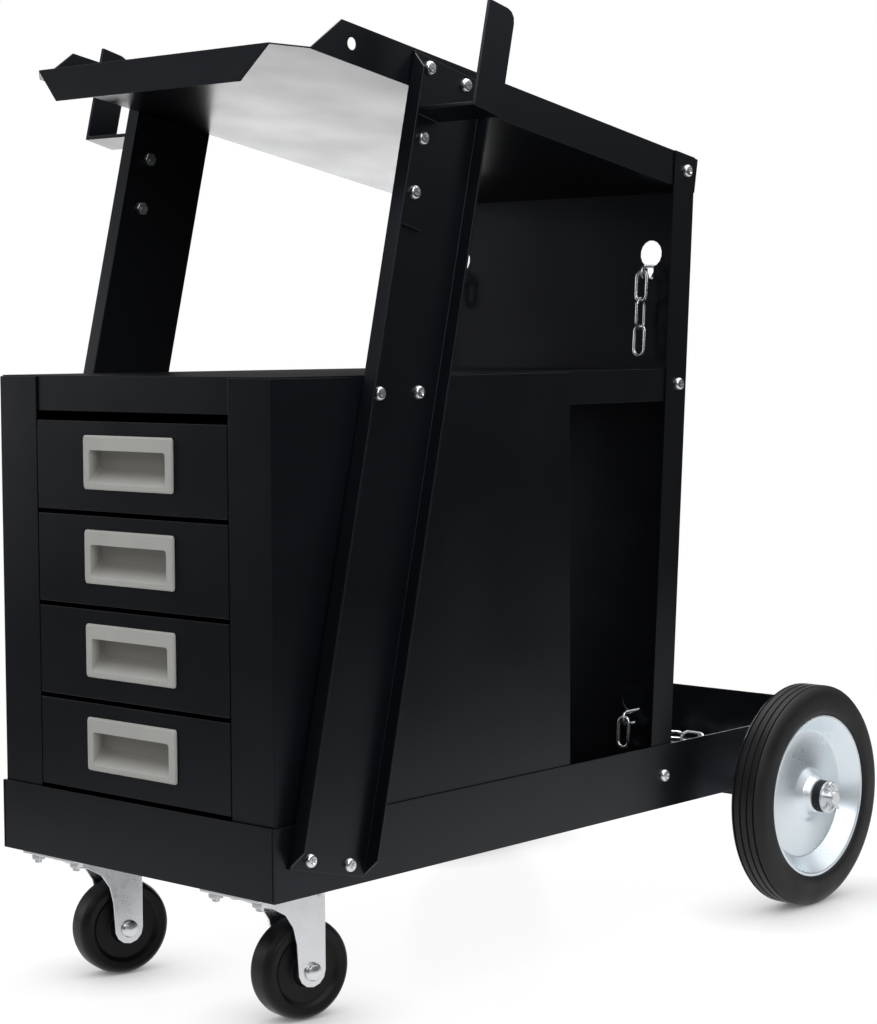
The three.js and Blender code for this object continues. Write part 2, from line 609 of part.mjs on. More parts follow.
const tyreProfile = [
  [-rimHalf - seat, RIM_R + seat], [-wellHalf, wellR + seat], [wellHalf, wellR + seat],
  [rimHalf + seat, RIM_R + seat], [tyreHalf, RIM_R + 6], [tyreHalf, WHEEL_R - 9], [tyreHalf - 4, WHEEL_R - 2],
  [grooveX + 1, WHEEL_R - 0.3], [grooveX, WHEEL_R - groove], [grooveX - 1, WHEEL_R],
  [-grooveX + 1, WHEEL_R], [-grooveX, WHEEL_R - groove], [-grooveX - 1, WHEEL_R - 0.3],
  [-tyreHalf + 4, WHEEL_R - 2], [-tyreHalf, WHEEL_R - 9], [-tyreHalf, RIM_R + 6], [-rimHalf - seat, RIM_R + seat],
];
sides.forEach(({ name, sign }) => {
  const parts = [['rim', rimProfile, zinc], ['tyre', tyreProfile, rubber]];
  parts.forEach(([piece, profile, look]) => {
    const ring = ringX(profile, WHEEL_FACETS).translate(TYRE_MIDDLE_X, AXLE_Y, WHEEL_R);
    addPart(`${name}_wheel_${piece}`, solid(mirrored(ring, sign)), look);
  });
});

// Swivel casters: plate with kingpin, fork, axle bolt and wheel.
const plateTop = BASE_Z - FIT;
const raceFoot = plateTop - CASTER_PLATE - CASTER_RACE;
const forkTop = raceFoot - FIT;
const forkCrown = forkTop - CASTER_FORK;
const forkIn = CASTER_WHEEL_WIDTH / 2 + 2;
const casterPlate = cut(join([
  box([-CASTER_PLATE_X / 2, CASTER_PLATE_X / 2], [-CASTER_PLATE_Y / 2, CASTER_PLATE_Y / 2],
    [plateTop - CASTER_PLATE, plateTop]),
  turnedZ([
    [forkCrown - 4, 0], [forkCrown - 4, CASTER_PIN_HEAD_R - 2], [forkCrown - FIT, CASTER_PIN_HEAD_R],
    [forkCrown - FIT, CASTER_PIN_R], [raceFoot, CASTER_PIN_R], [raceFoot, CASTER_RACE_R - 3],
    [plateTop - CASTER_PLATE, CASTER_RACE_R], [plateTop - 1, CASTER_RACE_R], [plateTop - 1, 0],
  ], 16),
]), [-1, 1].flatMap((a) => [-1, 1].map((b) => turnedZ([
  [plateTop - 10, 0], [plateTop - 10, SCREW_R + HOLE_FIT], [plateTop + 5, SCREW_R + HOLE_FIT], [plateTop + 5, 0],
], 8).translate(a * CASTER_HOLES_X / 2, b * CASTER_HOLES_Y / 2, 0))));

// Fork leg in Y and Z: a strip around the axle that flares forward to the crown.
const legRear = CASTER_TRAIL + CASTER_LEG_R;
const legFront = CASTER_TRAIL - CASTER_LEG_R - 1.5;
const legOutline = [
  [-CASTER_FORK_FRONT, forkTop], [-CASTER_FORK_FRONT, forkTop - 4], [-8, forkTop - 7], [4, forkTop - 14],
  [10.5, forkTop - 24], [legFront, forkTop - 37],
];
[0, 1, 2, 3, 4, 5, 6].forEach((step) => {
  const a = Math.PI * (1.06 + step / 6 * 0.94);
  legOutline.push([CASTER_TRAIL + CASTER_LEG_R * Math.cos(a), CASTER_WHEEL_R + CASTER_LEG_R * Math.sin(a)]);
});
legOutline.push([legRear, forkTop]);
const crownX = forkIn + CASTER_FORK;
const crownPlan = [
  [-crownX, -CASTER_FORK_FRONT], [crownX, -CASTER_FORK_FRONT], [crownX, legRear], [-crownX, legRear],
];
const pinHole = turnedZ([
  [forkCrown - 5, 0], [forkCrown - 5, CASTER_PIN_R + SLIDE_FIT], [forkTop + 5, CASTER_PIN_R + SLIDE_FIT],
  [forkTop + 5, 0],
], 16);
const axleX = forkIn + CASTER_FORK;
const fork = cut(join([
  prism(crownPlan, CASTER_FORK).translate(0, 0, forkCrown),
  prismX(legOutline, [forkIn, axleX]),
  prismX(legOutline, [-axleX, -forkIn]),
]), [pinHole, rodX(CASTER_AXLE_R + HOLE_FIT, [-50, 50], CASTER_TRAIL, CASTER_WHEEL_R)]);

const axleBolt = turnedX([
  [-axleX - 8, 0], [-axleX - 8, 6.5], [-axleX - FIT, 6.5], [-axleX - FIT, CASTER_AXLE_R],
  [axleX + FIT, CASTER_AXLE_R], [axleX + FIT, 7], [axleX + 3, 7], [axleX + 5, 5], [axleX + 5, 0],
], 12).translate(0, CASTER_TRAIL, CASTER_WHEEL_R);

const w = CASTER_WHEEL_WIDTH / 2;
const casterBore = CASTER_AXLE_R + FIT;
const casterWheel = ringX([
  [-w - 1, casterBore], [w + 1, casterBore], [w + 1, 11], [w - 4, 13], [w - 4, 25], [w - 1, 28],
  [w, 34], [w - 3, CASTER_WHEEL_R - 1], [w - 7, CASTER_WHEEL_R], [-w + 7, CASTER_WHEEL_R],
  [-w + 3, CASTER_WHEEL_R - 1], [-w, 34], [-w + 1, 28], [-w + 4, 25], [-w + 4, 13], [-w - 1, 11],
  [-w - 1, casterBore],
], CASTER_FACETS).translate(0, CASTER_TRAIL, CASTER_WHEEL_R);

sides.forEach(({ name, sign }) => {
  const stand = new THREE.Matrix4().makeTranslation(sign * CASTER_X, CASTER_Y, 0);
  const turned = stand.clone().multiply(new THREE.Matrix4().makeRotationZ(-CASTER_TURN[name]));
  addPart(`${name}_caster_plate`, solid(placed(casterPlate, stand)), zinc);
  addPart(`${name}_caster_fork`, solid(placed(fork, turned)), zinc);
  addPart(`${name}_caster_axle`, solid(placed(axleBolt.clone(), turned)), zinc);
  addPart(`${name}_caster_wheel`, solid(placed(casterWheel.clone(), turned)), rubber);
});

// Chains: welded links hooked into the keyholes, their runs hanging behind the panel.

function link() {
  const bend = LINK_WIDTH / 2 - LINK_WIRE_R;
  const stretch = (LINK_LENGTH - LINK_WIDTH) / 2;
  const ring = new THREE.TorusGeometry(bend, LINK_WIRE_R, 4, 6);
  const p = ring.attributes.position;
  for (let i = 0; i < p.count; i += 1) {
    p.setX(i, p.getX(i) + Math.sign(p.getX(i)) * stretch);
  }
  return ring;
}

// Links between neighbouring points; roll turns each link about its own length.
function chainOf(points, rollOf) {
  const links = points.slice(1).map((end, i) => {
    const start = points[i];
    const along = end.clone().sub(start).normalize();
    const side = new THREE.Vector3(1, 0, 0);
    side.addScaledVector(along, -side.dot(along));
    if (side.length() < 0.2) {
      side.set(0, 1, 0).addScaledVector(along, -along.y);
    }
    side.normalize();
    const up = along.clone().cross(side);
    const matrix = new THREE.Matrix4().makeBasis(along, side, up);
    matrix.multiply(new THREE.Matrix4().makeRotationX(rollOf(i)));
    matrix.setPosition(start.clone().add(end).multiplyScalar(0.5));
    return placed(link(), matrix);
  });
  return join(links);
}

// Points where a chain hooks through a keyhole, from its tail inside to its run outside.
function hookedEnd(x, z, tail) {
  const reach = LINK_PITCH / 2;
  const inside = panelPoint(x, SHEET / 2, z - KEYHOLE_DROP + LINK_HALF + FIT);
  inside.y -= reach;
  const down = new THREE.Vector3(0, 0, -1).transformDirection(panelFrame);
  const points = [];
  for (let i = tail; i >= 0; i -= 1) {
    points.push(inside.clone().addScaledVector(down, i * LINK_PITCH));
  }
  points.push(inside.clone().add(new THREE.Vector3(0, 2 * reach, 0)));
  return points;
}

// Catenary of the given number of links between two points at one height.
function hangingRun(from, to, count) {
  const span = from.distanceTo(to);
  const length = count * LINK_PITCH;
  let low = 1;
  let high = span * 10;
  for (let i = 0; i < 60; i += 1) {
    const a = (low + high) / 2;
    if (2 * a * Math.sinh(span / 2 / a) > length) {
      low = a;
    } else {
      high = a;
    }
  }
  const points = [];
  for (let i = 1; i < count; i += 1) {
    const s = i * LINK_PITCH - length / 2;
    const across = low * Math.asinh(s / low);
    const drop = low * (Math.cosh(span / 2 / low) - Math.cosh(across / low));
    points.push(from.clone().lerp(to, across / span + 0.5).add(new THREE.Vector3(0, 0, -drop)));
  }
  return points;
}

const upperRight = hookedEnd(KEYHOLE_X, KEYHOLE_Z[1], UPPER_TAILS.right);
const upperLeft = hookedEnd(-KEYHOLE_X, KEYHOLE_Z[1], UPPER_TAILS.left).reverse();
const upperRun = hangingRun(upperRight[upperRight.length - 1], upperLeft[0], UPPER_RUN_LINKS);
const quarter = Math.PI / 2;
addPart('upper_chain', chainOf([...upperRight, ...upperRun, ...upperLeft],
  (i) => (i - UPPER_TAILS.right + 1) * quarter), zinc);

const lowerRight = hookedEnd(KEYHOLE_X, KEYHOLE_Z[0], LOWER_TAILS.right);
const lowerLeft = hookedEnd(-KEYHOLE_X, KEYHOLE_Z[0], LOWER_TAILS.left).reverse();
const restZ = FLOOR_Z + LINK_HALF * Math.SQRT1_2 + FIT;
const lowerCurve = new THREE.CatmullRomCurve3([
  lowerRight[lowerRight.length - 1], new THREE.Vector3(107, 500, BASE_Z + 46),
  new THREE.Vector3(106, 512, BASE_Z + 20), new THREE.Vector3(98, 545, restZ), new THREE.Vector3(74, 620, restZ),
  new THREE.Vector3(36, 700, restZ), new THREE.Vector3(-4, 741, restZ), new THREE.Vector3(-46, 738, restZ),
  new THREE.Vector3(-80, 690, restZ), new THREE.Vector3(-102, 610, restZ), new THREE.Vector3(-108, 545, restZ),
  new THREE.Vector3(-108, 512, BASE_Z + 20), new THREE.Vector3(-107, 500, BASE_Z + 46), lowerLeft[0],
], false, 'centripetal');
const lowerCount = 2 * Math.floor((lowerCurve.getLength() / LINK_PITCH - 1) / 2) + 1;
const lowerRun = lowerCurve.getSpacedPoints(lowerCount).slice(1, -1);
lowerRun.forEach((point) => point.setZ(Math.max(point.z, restZ)));
const lowerLinks = lowerRun.length + 1;
const lying = (i) => i > LOWER_TAILS.right && i <= LOWER_TAILS.right + lowerLinks;
addPart('lower_chain', chainOf([...lowerRight, ...lowerRun, ...lowerLeft],
  (i) => (i - LOWER_TAILS.right + 1) * quarter + (lying(i) ? quarter / 2 : 0)), zinc);

export default cart;
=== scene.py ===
import json
import math

import bmesh
import bpy
from mathutils import Matrix, Vector
from mathutils.geometry import interpolate_bezier


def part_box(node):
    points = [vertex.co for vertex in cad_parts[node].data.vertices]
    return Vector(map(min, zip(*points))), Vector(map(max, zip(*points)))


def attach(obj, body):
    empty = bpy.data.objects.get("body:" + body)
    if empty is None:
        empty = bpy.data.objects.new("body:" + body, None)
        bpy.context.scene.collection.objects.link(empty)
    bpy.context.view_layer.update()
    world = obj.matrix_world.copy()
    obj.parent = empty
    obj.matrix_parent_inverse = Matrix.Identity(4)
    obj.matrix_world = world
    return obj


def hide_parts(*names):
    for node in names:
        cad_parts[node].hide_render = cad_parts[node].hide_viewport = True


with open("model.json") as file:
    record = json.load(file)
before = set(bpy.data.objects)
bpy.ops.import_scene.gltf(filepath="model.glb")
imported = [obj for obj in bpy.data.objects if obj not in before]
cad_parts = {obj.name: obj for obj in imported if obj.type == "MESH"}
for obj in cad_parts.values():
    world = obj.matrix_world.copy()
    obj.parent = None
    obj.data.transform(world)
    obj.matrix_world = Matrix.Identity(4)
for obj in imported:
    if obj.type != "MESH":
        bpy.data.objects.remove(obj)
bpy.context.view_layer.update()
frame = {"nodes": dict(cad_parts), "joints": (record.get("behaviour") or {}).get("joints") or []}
nodes = frame["nodes"]
joints = {joint["name"]: joint for joint in frame["joints"]}
sides = {"right": 1, "left": -1}
MM = 0.001

# Camera
# A long lens a little above the shelf looks at the drawer fronts and the cart's right side.
# Its place, turn and lens were fitted to the corners that show in the photograph.
IMAGE_HEIGHT_PX = 1024
FOCAL_LENGTH_PX = 2394.1
SENSOR_MM = 36
TURN_DEG = 41.606
DOWNWARD_DEG = 4.132
ROLL_DEG = -0.295
CAMERA_SPOT = (1.3507, -1.5552, 0.5039)

camera = bpy.data.objects.new("camera", bpy.data.cameras.new("camera"))
bpy.context.scene.collection.objects.link(camera)
camera.data.sensor_width = SENSOR_MM
camera.data.lens = SENSOR_MM * FOCAL_LENGTH_PX / IMAGE_HEIGHT_PX
turn = Matrix.Rotation(math.radians(TURN_DEG), 4, "Z")
tilt = Matrix.Rotation(math.radians(90 - DOWNWARD_DEG), 4, "X")
roll = Matrix.Rotation(math.radians(ROLL_DEG), 4, "Z")
camera.matrix_world = Matrix.Translation(CAMERA_SPOT) @ turn @ tilt @ roll
bpy.context.scene.camera = camera
bpy.context.scene.view_settings.view_transform = "Standard"


# Studio
# A white sweep that meets the background without a line, under large soft lamps.
# Away from the sweep the room falls off towards grey, which gives the paint its dark reflections.
def linear(colour):
    """An sRGB hex colour as linear red, green, blue and alpha."""
    channels = [int(colour[i:i + 2], 16) / 255 for i in (1, 3, 5)]
    return [c / 12.92 if c <= 0.04045 else ((c + 0.055) / 1.055) ** 2.4 for c in channels] + [1]


def add_node(tree, kind, inputs=None, **settings):
    """One node with its settings, each input given as a value or as the socket that feeds it."""
    made = tree.nodes.new(kind)
    for name, value in settings.items():
        setattr(made, name, value)
    for name, value in (inputs or {}).items():
        if isinstance(value, bpy.types.NodeSocket):
            tree.links.new(value, made.inputs[name])
        else:
            made.inputs[name].default_value = value
    return made


def new_tree(holder):
    """An empty node tree of a material or the world."""
    holder.use_nodes = True
    holder.node_tree.nodes.clear()
    return holder.node_tree


room = bpy.data.worlds.new("studio")
bpy.context.scene.world = room
tree = new_tree(room)
ray = add_node(tree, "ShaderNodeLightPath")
direction = add_node(tree, "ShaderNodeTexCoord")
height = add_node(tree, "ShaderNodeSeparateXYZ", {"Vector": direction.outputs["Generated"]})
glow = add_node(tree, "ShaderNodeMapRange", {
    "Value": height.outputs["Z"], "From Min": 0.35, "From Max": 0.8, "To Min": 0.085, "To Max": 0.9})
seen = add_node(tree, "ShaderNodeMath", {
    0: ray.outputs["Is Camera Ray"], 1: ray.outputs["Is Transmission Ray"]}, operation="MAXIMUM")
strength = add_node(tree, "ShaderNodeMix", {
    "Factor": seen.outputs[0], "A": glow.outputs["Result"], "B": 1.0})
sky = add_node(tree, "ShaderNodeBackground", {
    "Color": linear("#ffffff"), "Strength": strength.outputs["Result"]})
add_node(tree, "ShaderNodeOutputWorld", {"Surface": sky.outputs[0]})

SWEEP_SIZE = 14
sweep_mesh = bmesh.new()
bmesh.ops.create_grid(sweep_mesh, x_segments=1, y_segments=1, size=SWEEP_SIZE / 2)
floor_mesh = bpy.data.meshes.new("floor")
sweep_mesh.to_mesh(floor_mesh)
sweep_mesh.free()
floor = bpy.data.objects.new("floor", floor_mesh)
bpy.context.scene.collection.objects.link(floor)
white_vinyl = bpy.data.materials.new("white_vinyl")
tree = new_tree(white_vinyl)
place = add_node(tree, "ShaderNodeTexCoord")
SCUFF_MM = 180
scuffs = add_node(tree, "ShaderNodeTexNoise", {
    "Vector": place.outputs["Object"], "Scale": 1000 / SCUFF_MM, "Detail": 3.0})
sheen = add_node(tree, "ShaderNodeMapRange", {
    "Value": scuffs.outputs["Fac"], "To Min": 0.16, "To Max": 0.26})
vinyl = add_node(tree, "ShaderNodeBsdfPrincipled", {
    "Base Color": linear("#ffffff"), "Roughness": sheen.outputs["Result"], "Specular IOR Level": 0.3})
CONTACT_MM = 70  # how far round the wheels the floor's painted contact shadow reaches
# Painted shadow: the floor's glow is darkened by occlusion close to the wheels and casters.
contact = add_node(tree, "ShaderNodeAmbientOcclusion", {"Distance": CONTACT_MM * MM}, samples=8)
shade = add_node(tree, "ShaderNodeMapRange", {"Value": contact.outputs["AO"], "To Min": 0.1, "To Max": 1.0})
reach = add_node(tree, "ShaderNodeVectorMath", {0: place.outputs["Object"]}, operation="LENGTH")
fade = add_node(tree, "ShaderNodeMapRange", {
    "Value": reach.outputs["Value"], "From Min": 0.3, "From Max": 0.9, "To Min": 0.94, "To Max": 1.0},
    interpolation_type="SMOOTHSTEP")
# Painted light: in reflections the floor glows brightest under and just in front of the cart, fading
# forward and dim to each side.
where = add_node(tree, "ShaderNodeSeparateXYZ", {"Vector": place.outputs["Object"]})
near_glow = add_node(tree, "ShaderNodeMapRange", {
    "Value": where.outputs["Y"], "From Min": -1.15, "From Max": -0.35, "To Min": 0.17, "To Max": 0.88})
dusk = add_node(tree, "ShaderNodeMapRange", {
    "Value": where.outputs["Y"], "From Min": -0.9, "From Max": 0.2, "To Min": 0.1, "To Max": 0.02})
beside = add_node(tree, "ShaderNodeMath", {0: where.outputs["X"]}, operation="ABSOLUTE")
brink = add_node(tree, "ShaderNodeMapRange", {
    "Value": where.outputs["Y"], "From Min": 0.25, "From Max": 0.6, "To Min": 0.62, "To Max": 0.77})
verge = add_node(tree, "ShaderNodeMath", {0: brink.outputs["Result"], 1: 0.22}, operation="ADD")
pool = add_node(tree, "ShaderNodeMapRange", {
    "Value": beside.outputs[0], "From Min": brink.outputs["Result"], "From Max": verge.outputs[0],
    "To Min": near_glow.outputs["Result"], "To Max": dusk.outputs["Result"]}, interpolation_type="SMOOTHSTEP")
ray = add_node(tree, "ShaderNodeLightPath")
glare = add_node(tree, "ShaderNodeMix", {
    "Factor": ray.outputs["Is Camera Ray"], "A": pool.outputs["Result"], "B": shade.outputs["Result"]})
lit = add_node(tree, "ShaderNodeEmission", {
    "Color": linear("#ffffff"), "Strength": glare.outputs["Result"]})
seen = add_node(tree, "ShaderNodeMath", {
    0: ray.outputs["Is Camera Ray"], 1: ray.outputs["Is Glossy Ray"]}, operation="MAXIMUM")
white = add_node(tree, "ShaderNodeMath", {
    0: fade.outputs["Result"], 1: seen.outputs[0]}, operation="MULTIPLY")
sweep = add_node(tree, "ShaderNodeMixShader", {
    0: white.outputs[0], 1: vinyl.outputs[0], 2: lit.outputs[0]})
add_node(tree, "ShaderNodeOutputMaterial", {"Surface": sweep.outputs[0]})
floor_mesh.materials.append(white_vinyl)

LAMP_AIM = Vector((0, 0, 0.4))
lamps = {  # where each stands and its size in metres, and its power in watts
    "front_softbox": ((-0.9, -2.0, 2.6), (1.6, 1.6), 24),
    "right_softbox": ((2.3, -1.7, 1.9), (1.6, 1.6), 20),
    "rear_softbox": ((1.9, 1.9, 1.8), (1.6, 1.6), 4),
    "top_softbox": ((0.2, 0.1, 2.6), (2.4, 2.4), 90),
    "left_softbox": ((-2.3, -1.1, 0.75), (1.0, 1.0), 7.5),
    "low_softbox": ((-0.95, 1.0, 0.2), (1.3, 0.4), 6.5),
}
for name, (spot, size, watts) in lamps.items():
    lamp = bpy.data.objects.new(name, bpy.data.lights.new(name, "AREA"))
    bpy.context.scene.collection.objects.link(lamp)
    lamp.data.shape = "RECTANGLE"
    lamp.data.size, lamp.data.size_y = size
    lamp.data.energy = watts
    lamp.location = spot
    lamp.visible_camera = False
    lamp.rotation_euler = (LAMP_AIM - lamp.location).to_track_quat("-Z", "Y").to_euler()

# Base tray
# One pan of 1.5 mm sheet steel, folded up on four sides; it carries the cabinet and the bottle.
# Powder coated black: the coat melts into a semi-gloss skin with a faint blue cast and a fine ripple.
PEEL_MM = 1.6
CLOUD_MM = 70
SHARP_DEG = 38  # edges bent further than this are shaded as edges
FLAT_DEG = 0.6  # edges bent less than this lie inside a flat
WELD_MM = 0.01  # corners of the loose triangles closer than this are one
SNAP_MM = 0.05  # a cut that passes a corner closer than this goes through it
black_powder_coat = bpy.data.materials.new("black_powder_coat")
tree = new_tree(black_powder_coat)
place = add_node(tree, "ShaderNodeTexCoord")
peel = add_node(tree, "ShaderNodeTexNoise", {
    "Vector": place.outputs["Object"], "Scale": 1000 / PEEL_MM, "Detail": 2.0})
ripple = add_node(tree, "ShaderNodeBump", {
    "Height": peel.outputs["Fac"], "Strength": 0.12, "Distance": 0.1 * MM})
cloud = add_node(tree, "ShaderNodeTexNoise", {
    "Vector": place.outputs["Object"], "Scale": 1000 / CLOUD_MM, "Detail": 4.0})
black = add_node(tree, "ShaderNodeMixRGB", {
    "Fac": cloud.outputs["Fac"], "Color1": linear("#06070a"), "Color2": linear("#090b0f")})
gloss = add_node(tree, "ShaderNodeMapRange", {
    "Value": cloud.outputs["Fac"], "From Min": 0.3, "From Max": 0.7, "To Min": 0.28, "To Max": 0.33})
coat = add_node(tree, "ShaderNodeBsdfPrincipled", {
    "Base Color": black.outputs["Color"], "Roughness": gloss.outputs["Result"],
    "Specular IOR Level": 0.36, "Specular Tint": linear("#ecf1ff"), "Normal": ripple.outputs[0]})
add_node(tree, "ShaderNodeOutputMaterial", {"Surface": coat.outputs[0]})


def shown(name, shape, material, slot, body, *replaced):
    """Makes a shaped mesh an object that rides on its body in place of the given nodes."""
    mesh = bpy.data.meshes.new(name)
    shape.to_mesh(mesh)
    shape.free()
    mesh.materials.append(material)
    mesh.polygons.foreach_set("use_smooth", [True] * len(mesh.polygons))
    mesh.set_sharp_from_angle(angle=math.radians(SHARP_DEG))
    made = bpy.data.objects.new(name, mesh)
    bpy.context.scene.collection.objects.link(made)
    made.modifiers.new("flat_faces", "WEIGHTED_NORMAL").keep_sharp = True
    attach(made, body)
    if replaced:
        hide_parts(*replaced)
    return made


def rounded(shape, radius, segments=3, limit=25):
    """Rounds every edge that is sharper than the limit."""
    sharp = [e for e in shape.edges
             if len(e.link_faces) == 2 and e.calc_face_angle() > math.radians(limit)]
    bmesh.ops.bevel(
        shape, geom=sharp, offset=radius * MM, offset_type="OFFSET", affect="EDGES", segments=segments,
        profile=0.5, material=-1, clamp_overlap=True)
    return shape


def flat(edge):
    """Whether an edge lies inside one flat of the sheet."""
    return len(edge.link_faces) == 2 and edge.calc_face_angle() < math.radians(FLAT_DEG)


def joined(first, neighbours):
    """Everything reached from the first item by stepping from neighbour to neighbour."""
    reached = {first: True}
    waiting = [first]
    while waiting:
        for item in neighbours(waiting.pop()):
            if item not in reached:
                reached[item] = True
                waiting.append(item)
    return list(reached)


def extent(edges):
    """The size of a loop of edges along X, Y and Z."""
    points = [v.co for e in edges for v in e.verts]
    return [max(p[i] for p in points) - min(p[i] for p in points) for i in range(3)]


def holes_by_flat(shape):
    """The faces of each flat that has holes, its longest axis, and the middles of the holes."""
    found = []
    done = set()
    for face in shape.faces:
        if face in done:
            continue
        faces = joined(face, lambda f: [g for e in f.edges if flat(e) for g in e.link_faces])
        done.update(faces)
        left = {e: True for f in faces for e in f.edges if not flat(e)}
        loops = []
        while left:
            first = next(iter(left))
            loop = joined(first, lambda e: [o for v in e.verts for o in v.link_edges if o in left])
            loops.append(loop)
            left = {e: True for e in left if e not in loop}
        loops.sort(key=lambda loop: max(extent(loop)))
        size = extent(loops[-1])
        axis = Vector([float(length == max(size)) for length in size])
        middles = [sum((v.co for e in loop for v in e.verts), Vector()) / (2 * len(loop))
                   for loop in loops[:-1]]
        if middles:
            found.append((faces, axis, middles))
    return found


def eased(node, radius):
    """A node's shape with its folds and cut edges rounded; each holed flat is first cut at its holes."""
    shape = bmesh.new()
    shape.from_mesh(nodes[node].data)
    bmesh.ops.remove_doubles(shape, verts=shape.verts, dist=WELD_MM * MM)
    for faces, axis, middles in holes_by_flat(shape):
        piece = list({item: True for f in faces for item in (f, *f.edges, *f.verts)})
        for middle in middles:
            cut = bmesh.ops.bisect_plane(
                shape, geom=piece, dist=SNAP_MM * MM, plane_co=middle, plane_no=axis)
            piece = cut["geom"]
            for item in cut["geom_cut"]:
                if isinstance(item, bmesh.types.BMEdge) and flat(item):
                    item.seam = True
    bmesh.ops.dissolve_limit(
        shape, angle_limit=math.radians(FLAT_DEG), verts=shape.verts, edges=shape.edges, delimit={"SEAM"})
    return rounded(shape, radius)


shown("base_pan", eased("base_tray", 0.3), black_powder_coat, "black_paint", "frame", "base_tray")

# Drawer cabinet and shelf
# Two folded sides with the stiles beside the drawers, a channel for the back, and a shelf pan
# turned upside down on top. 1.2 mm sheet in the same black coat, screwed to the posts.
for side in sides:
    shown(f"{side}_cabinet_side", eased(f"{side}_side_panel", 0.5),
          black_powder_coat, "black_paint", "frame", f"{side}_side_panel")
shown("cabinet_back_sheet", eased("cabinet_back", 0.5),
      black_powder_coat, "black_paint", "frame", "cabinet_back")
shown("shelf_pan", eased("mid_shelf", 0.5), black_powder_coat, "black_paint", "frame", "mid_shelf")

# Drawer runners
# Racks of bare galvanised sheet on the cabinet sides, one ledge and guide under each drawer.
# Hot-dip zinc freezes in dull grey spangles a few millimetres across.
SPANGLE_MM = 7
galvanised_sheet = bpy.data.materials.new("galvanised_sheet")
tree = new_tree(galvanised_sheet)
place = add_node(tree, "ShaderNodeTexCoord")
spangle = add_node(tree, "ShaderNodeTexVoronoi", {
    "Vector": place.outputs["Object"], "Scale": 1000 / SPANGLE_MM})
tint = add_node(tree, "ShaderNodeSeparateColor", {"Color": spangle.outputs["Color"]})
grey = add_node(tree, "ShaderNodeMixRGB", {
    "Fac": tint.outputs["Red"], "Color1": linear("#9da1a6"), "Color2": linear("#b9bcc0")})
dull = add_node(tree, "ShaderNodeMapRange", {
    "Value": tint.outputs["Green"], "To Min": 0.38, "To Max": 0.52})
sheet = add_node(tree, "ShaderNodeBsdfPrincipled", {
    "Base Color": grey.outputs["Color"], "Metallic": 1.0, "Roughness": dull.outputs["Result"]})
add_node(tree, "ShaderNodeOutputMaterial", {"Surface": sheet.outputs[0]})
for side in sides:
    shown(f"{side}_runners", eased(f"{side}_runner_rack", 0.3),
          galvanised_sheet, "zinc_runner", "frame", f"{side}_runner_rack")

# Drawers and their pulls
# Folded black boxes behind flat fronts, each with a moulded pull clipped into its window.
# The pull is light grey ABS from a spark-eroded mould, which leaves a fine matt grain.
GRAIN_MM = 0.9  # the real grain of about 0.2 mm is drawn coarser so that it shows
CUP_RIM_Y = -382.5  # painted shade darkens the cup from its rim to its floor
CUP_FLOOR_Y = -376.5
FLOW_MM = 25
grey_abs = bpy.data.materials.new("grey_abs")
tree = new_tree(grey_abs)
place = add_node(tree, "ShaderNodeTexCoord")
grain = add_node(tree, "ShaderNodeTexNoise", {
    "Vector": place.outputs["Object"], "Scale": 1000 / GRAIN_MM, "Detail": 3.0})
texture = add_node(tree, "ShaderNodeBump", {
    "Height": grain.outputs["Fac"], "Strength": 0.25, "Distance": 0.08 * MM})
flow = add_node(tree, "ShaderNodeTexNoise", {"Vector": place.outputs["Object"], "Scale": 1000 / FLOW_MM})
tone = add_node(tree, "ShaderNodeMixRGB", {
    "Fac": flow.outputs["Fac"], "Color1": linear("#868684"), "Color2": linear("#93938f")})
depth = add_node(tree, "ShaderNodeSeparateXYZ", {"Vector": place.outputs["Object"]})
# Painted shade: the pull's colour darkens from the cup's rim to its floor, where the cup's walls would
# shade it.
cup_painted_shade = add_node(tree, "ShaderNodeMapRange", {
    "Value": depth.outputs["Y"], "From Min": CUP_RIM_Y * MM, "From Max": CUP_FLOOR_Y * MM})
cup_shaded_tone = add_node(tree, "ShaderNodeMixRGB", {
    "Fac": cup_painted_shade.outputs["Result"], "Color1": tone.outputs["Color"], "Color2": linear("#5e5c56")})
matt = add_node(tree, "ShaderNodeMapRange", {
    "Value": grain.outputs["Fac"], "To Min": 0.44, "To Max": 0.6})
moulding = add_node(tree, "ShaderNodeBsdfPrincipled", {
    "Base Color": cup_shaded_tone.outputs["Color"], "Roughness": matt.outputs["Result"], "IOR": 1.53,
    "Normal": texture.outputs[0]})
add_node(tree, "ShaderNodeOutputMaterial", {"Surface": moulding.outputs[0]})
for number in range(1, 5):
    shown(f"drawer_box_{number}", eased(f"drawer_{number}", 0.5),
          black_powder_coat, "black_paint", f"drawer_{number}_body", f"drawer_{number}")
    shown(f"drawer_grip_{number}", eased(f"drawer_pull_{number}", 0.5),
          grey_abs, "grey_plastic", f"drawer_{number}_body", f"drawer_pull_{number}")

# Rear panel, posts, tray and hooks
# The folded uprights of the cart: a leaning panel with keyholes, two channels with clipped ends,
# the sloping tray that they carry, and a bent strip on each post for leads and hoses.
EDGE_HALF = 149.5  # the panel's upper edge, which is pulled up tight under the tray
EDGE_LOW = 623.5
EDGE_HIGH = 632
EDGE_RISE = 0.45
for node, radius in (("rear_panel", 0.3), ("left_post", 0.6), ("right_post", 0.6), ("top_tray", 0.4),
                     ("left_hook", 0.7), ("right_hook", 0.7)):
    sheet_shape = eased(node, radius)
    if node == "rear_panel":
        upper_edge = [v for v in sheet_shape.verts
                      if abs(v.co.x) < EDGE_HALF * MM and EDGE_LOW * MM < v.co.z < EDGE_HIGH * MM]
        bmesh.ops.translate(sheet_shape, verts=upper_edge, vec=(0, 0, EDGE_RISE * MM))
    shown(f"{node}_sheet", sheet_shape, black_powder_coat, "black_paint", "frame", node)

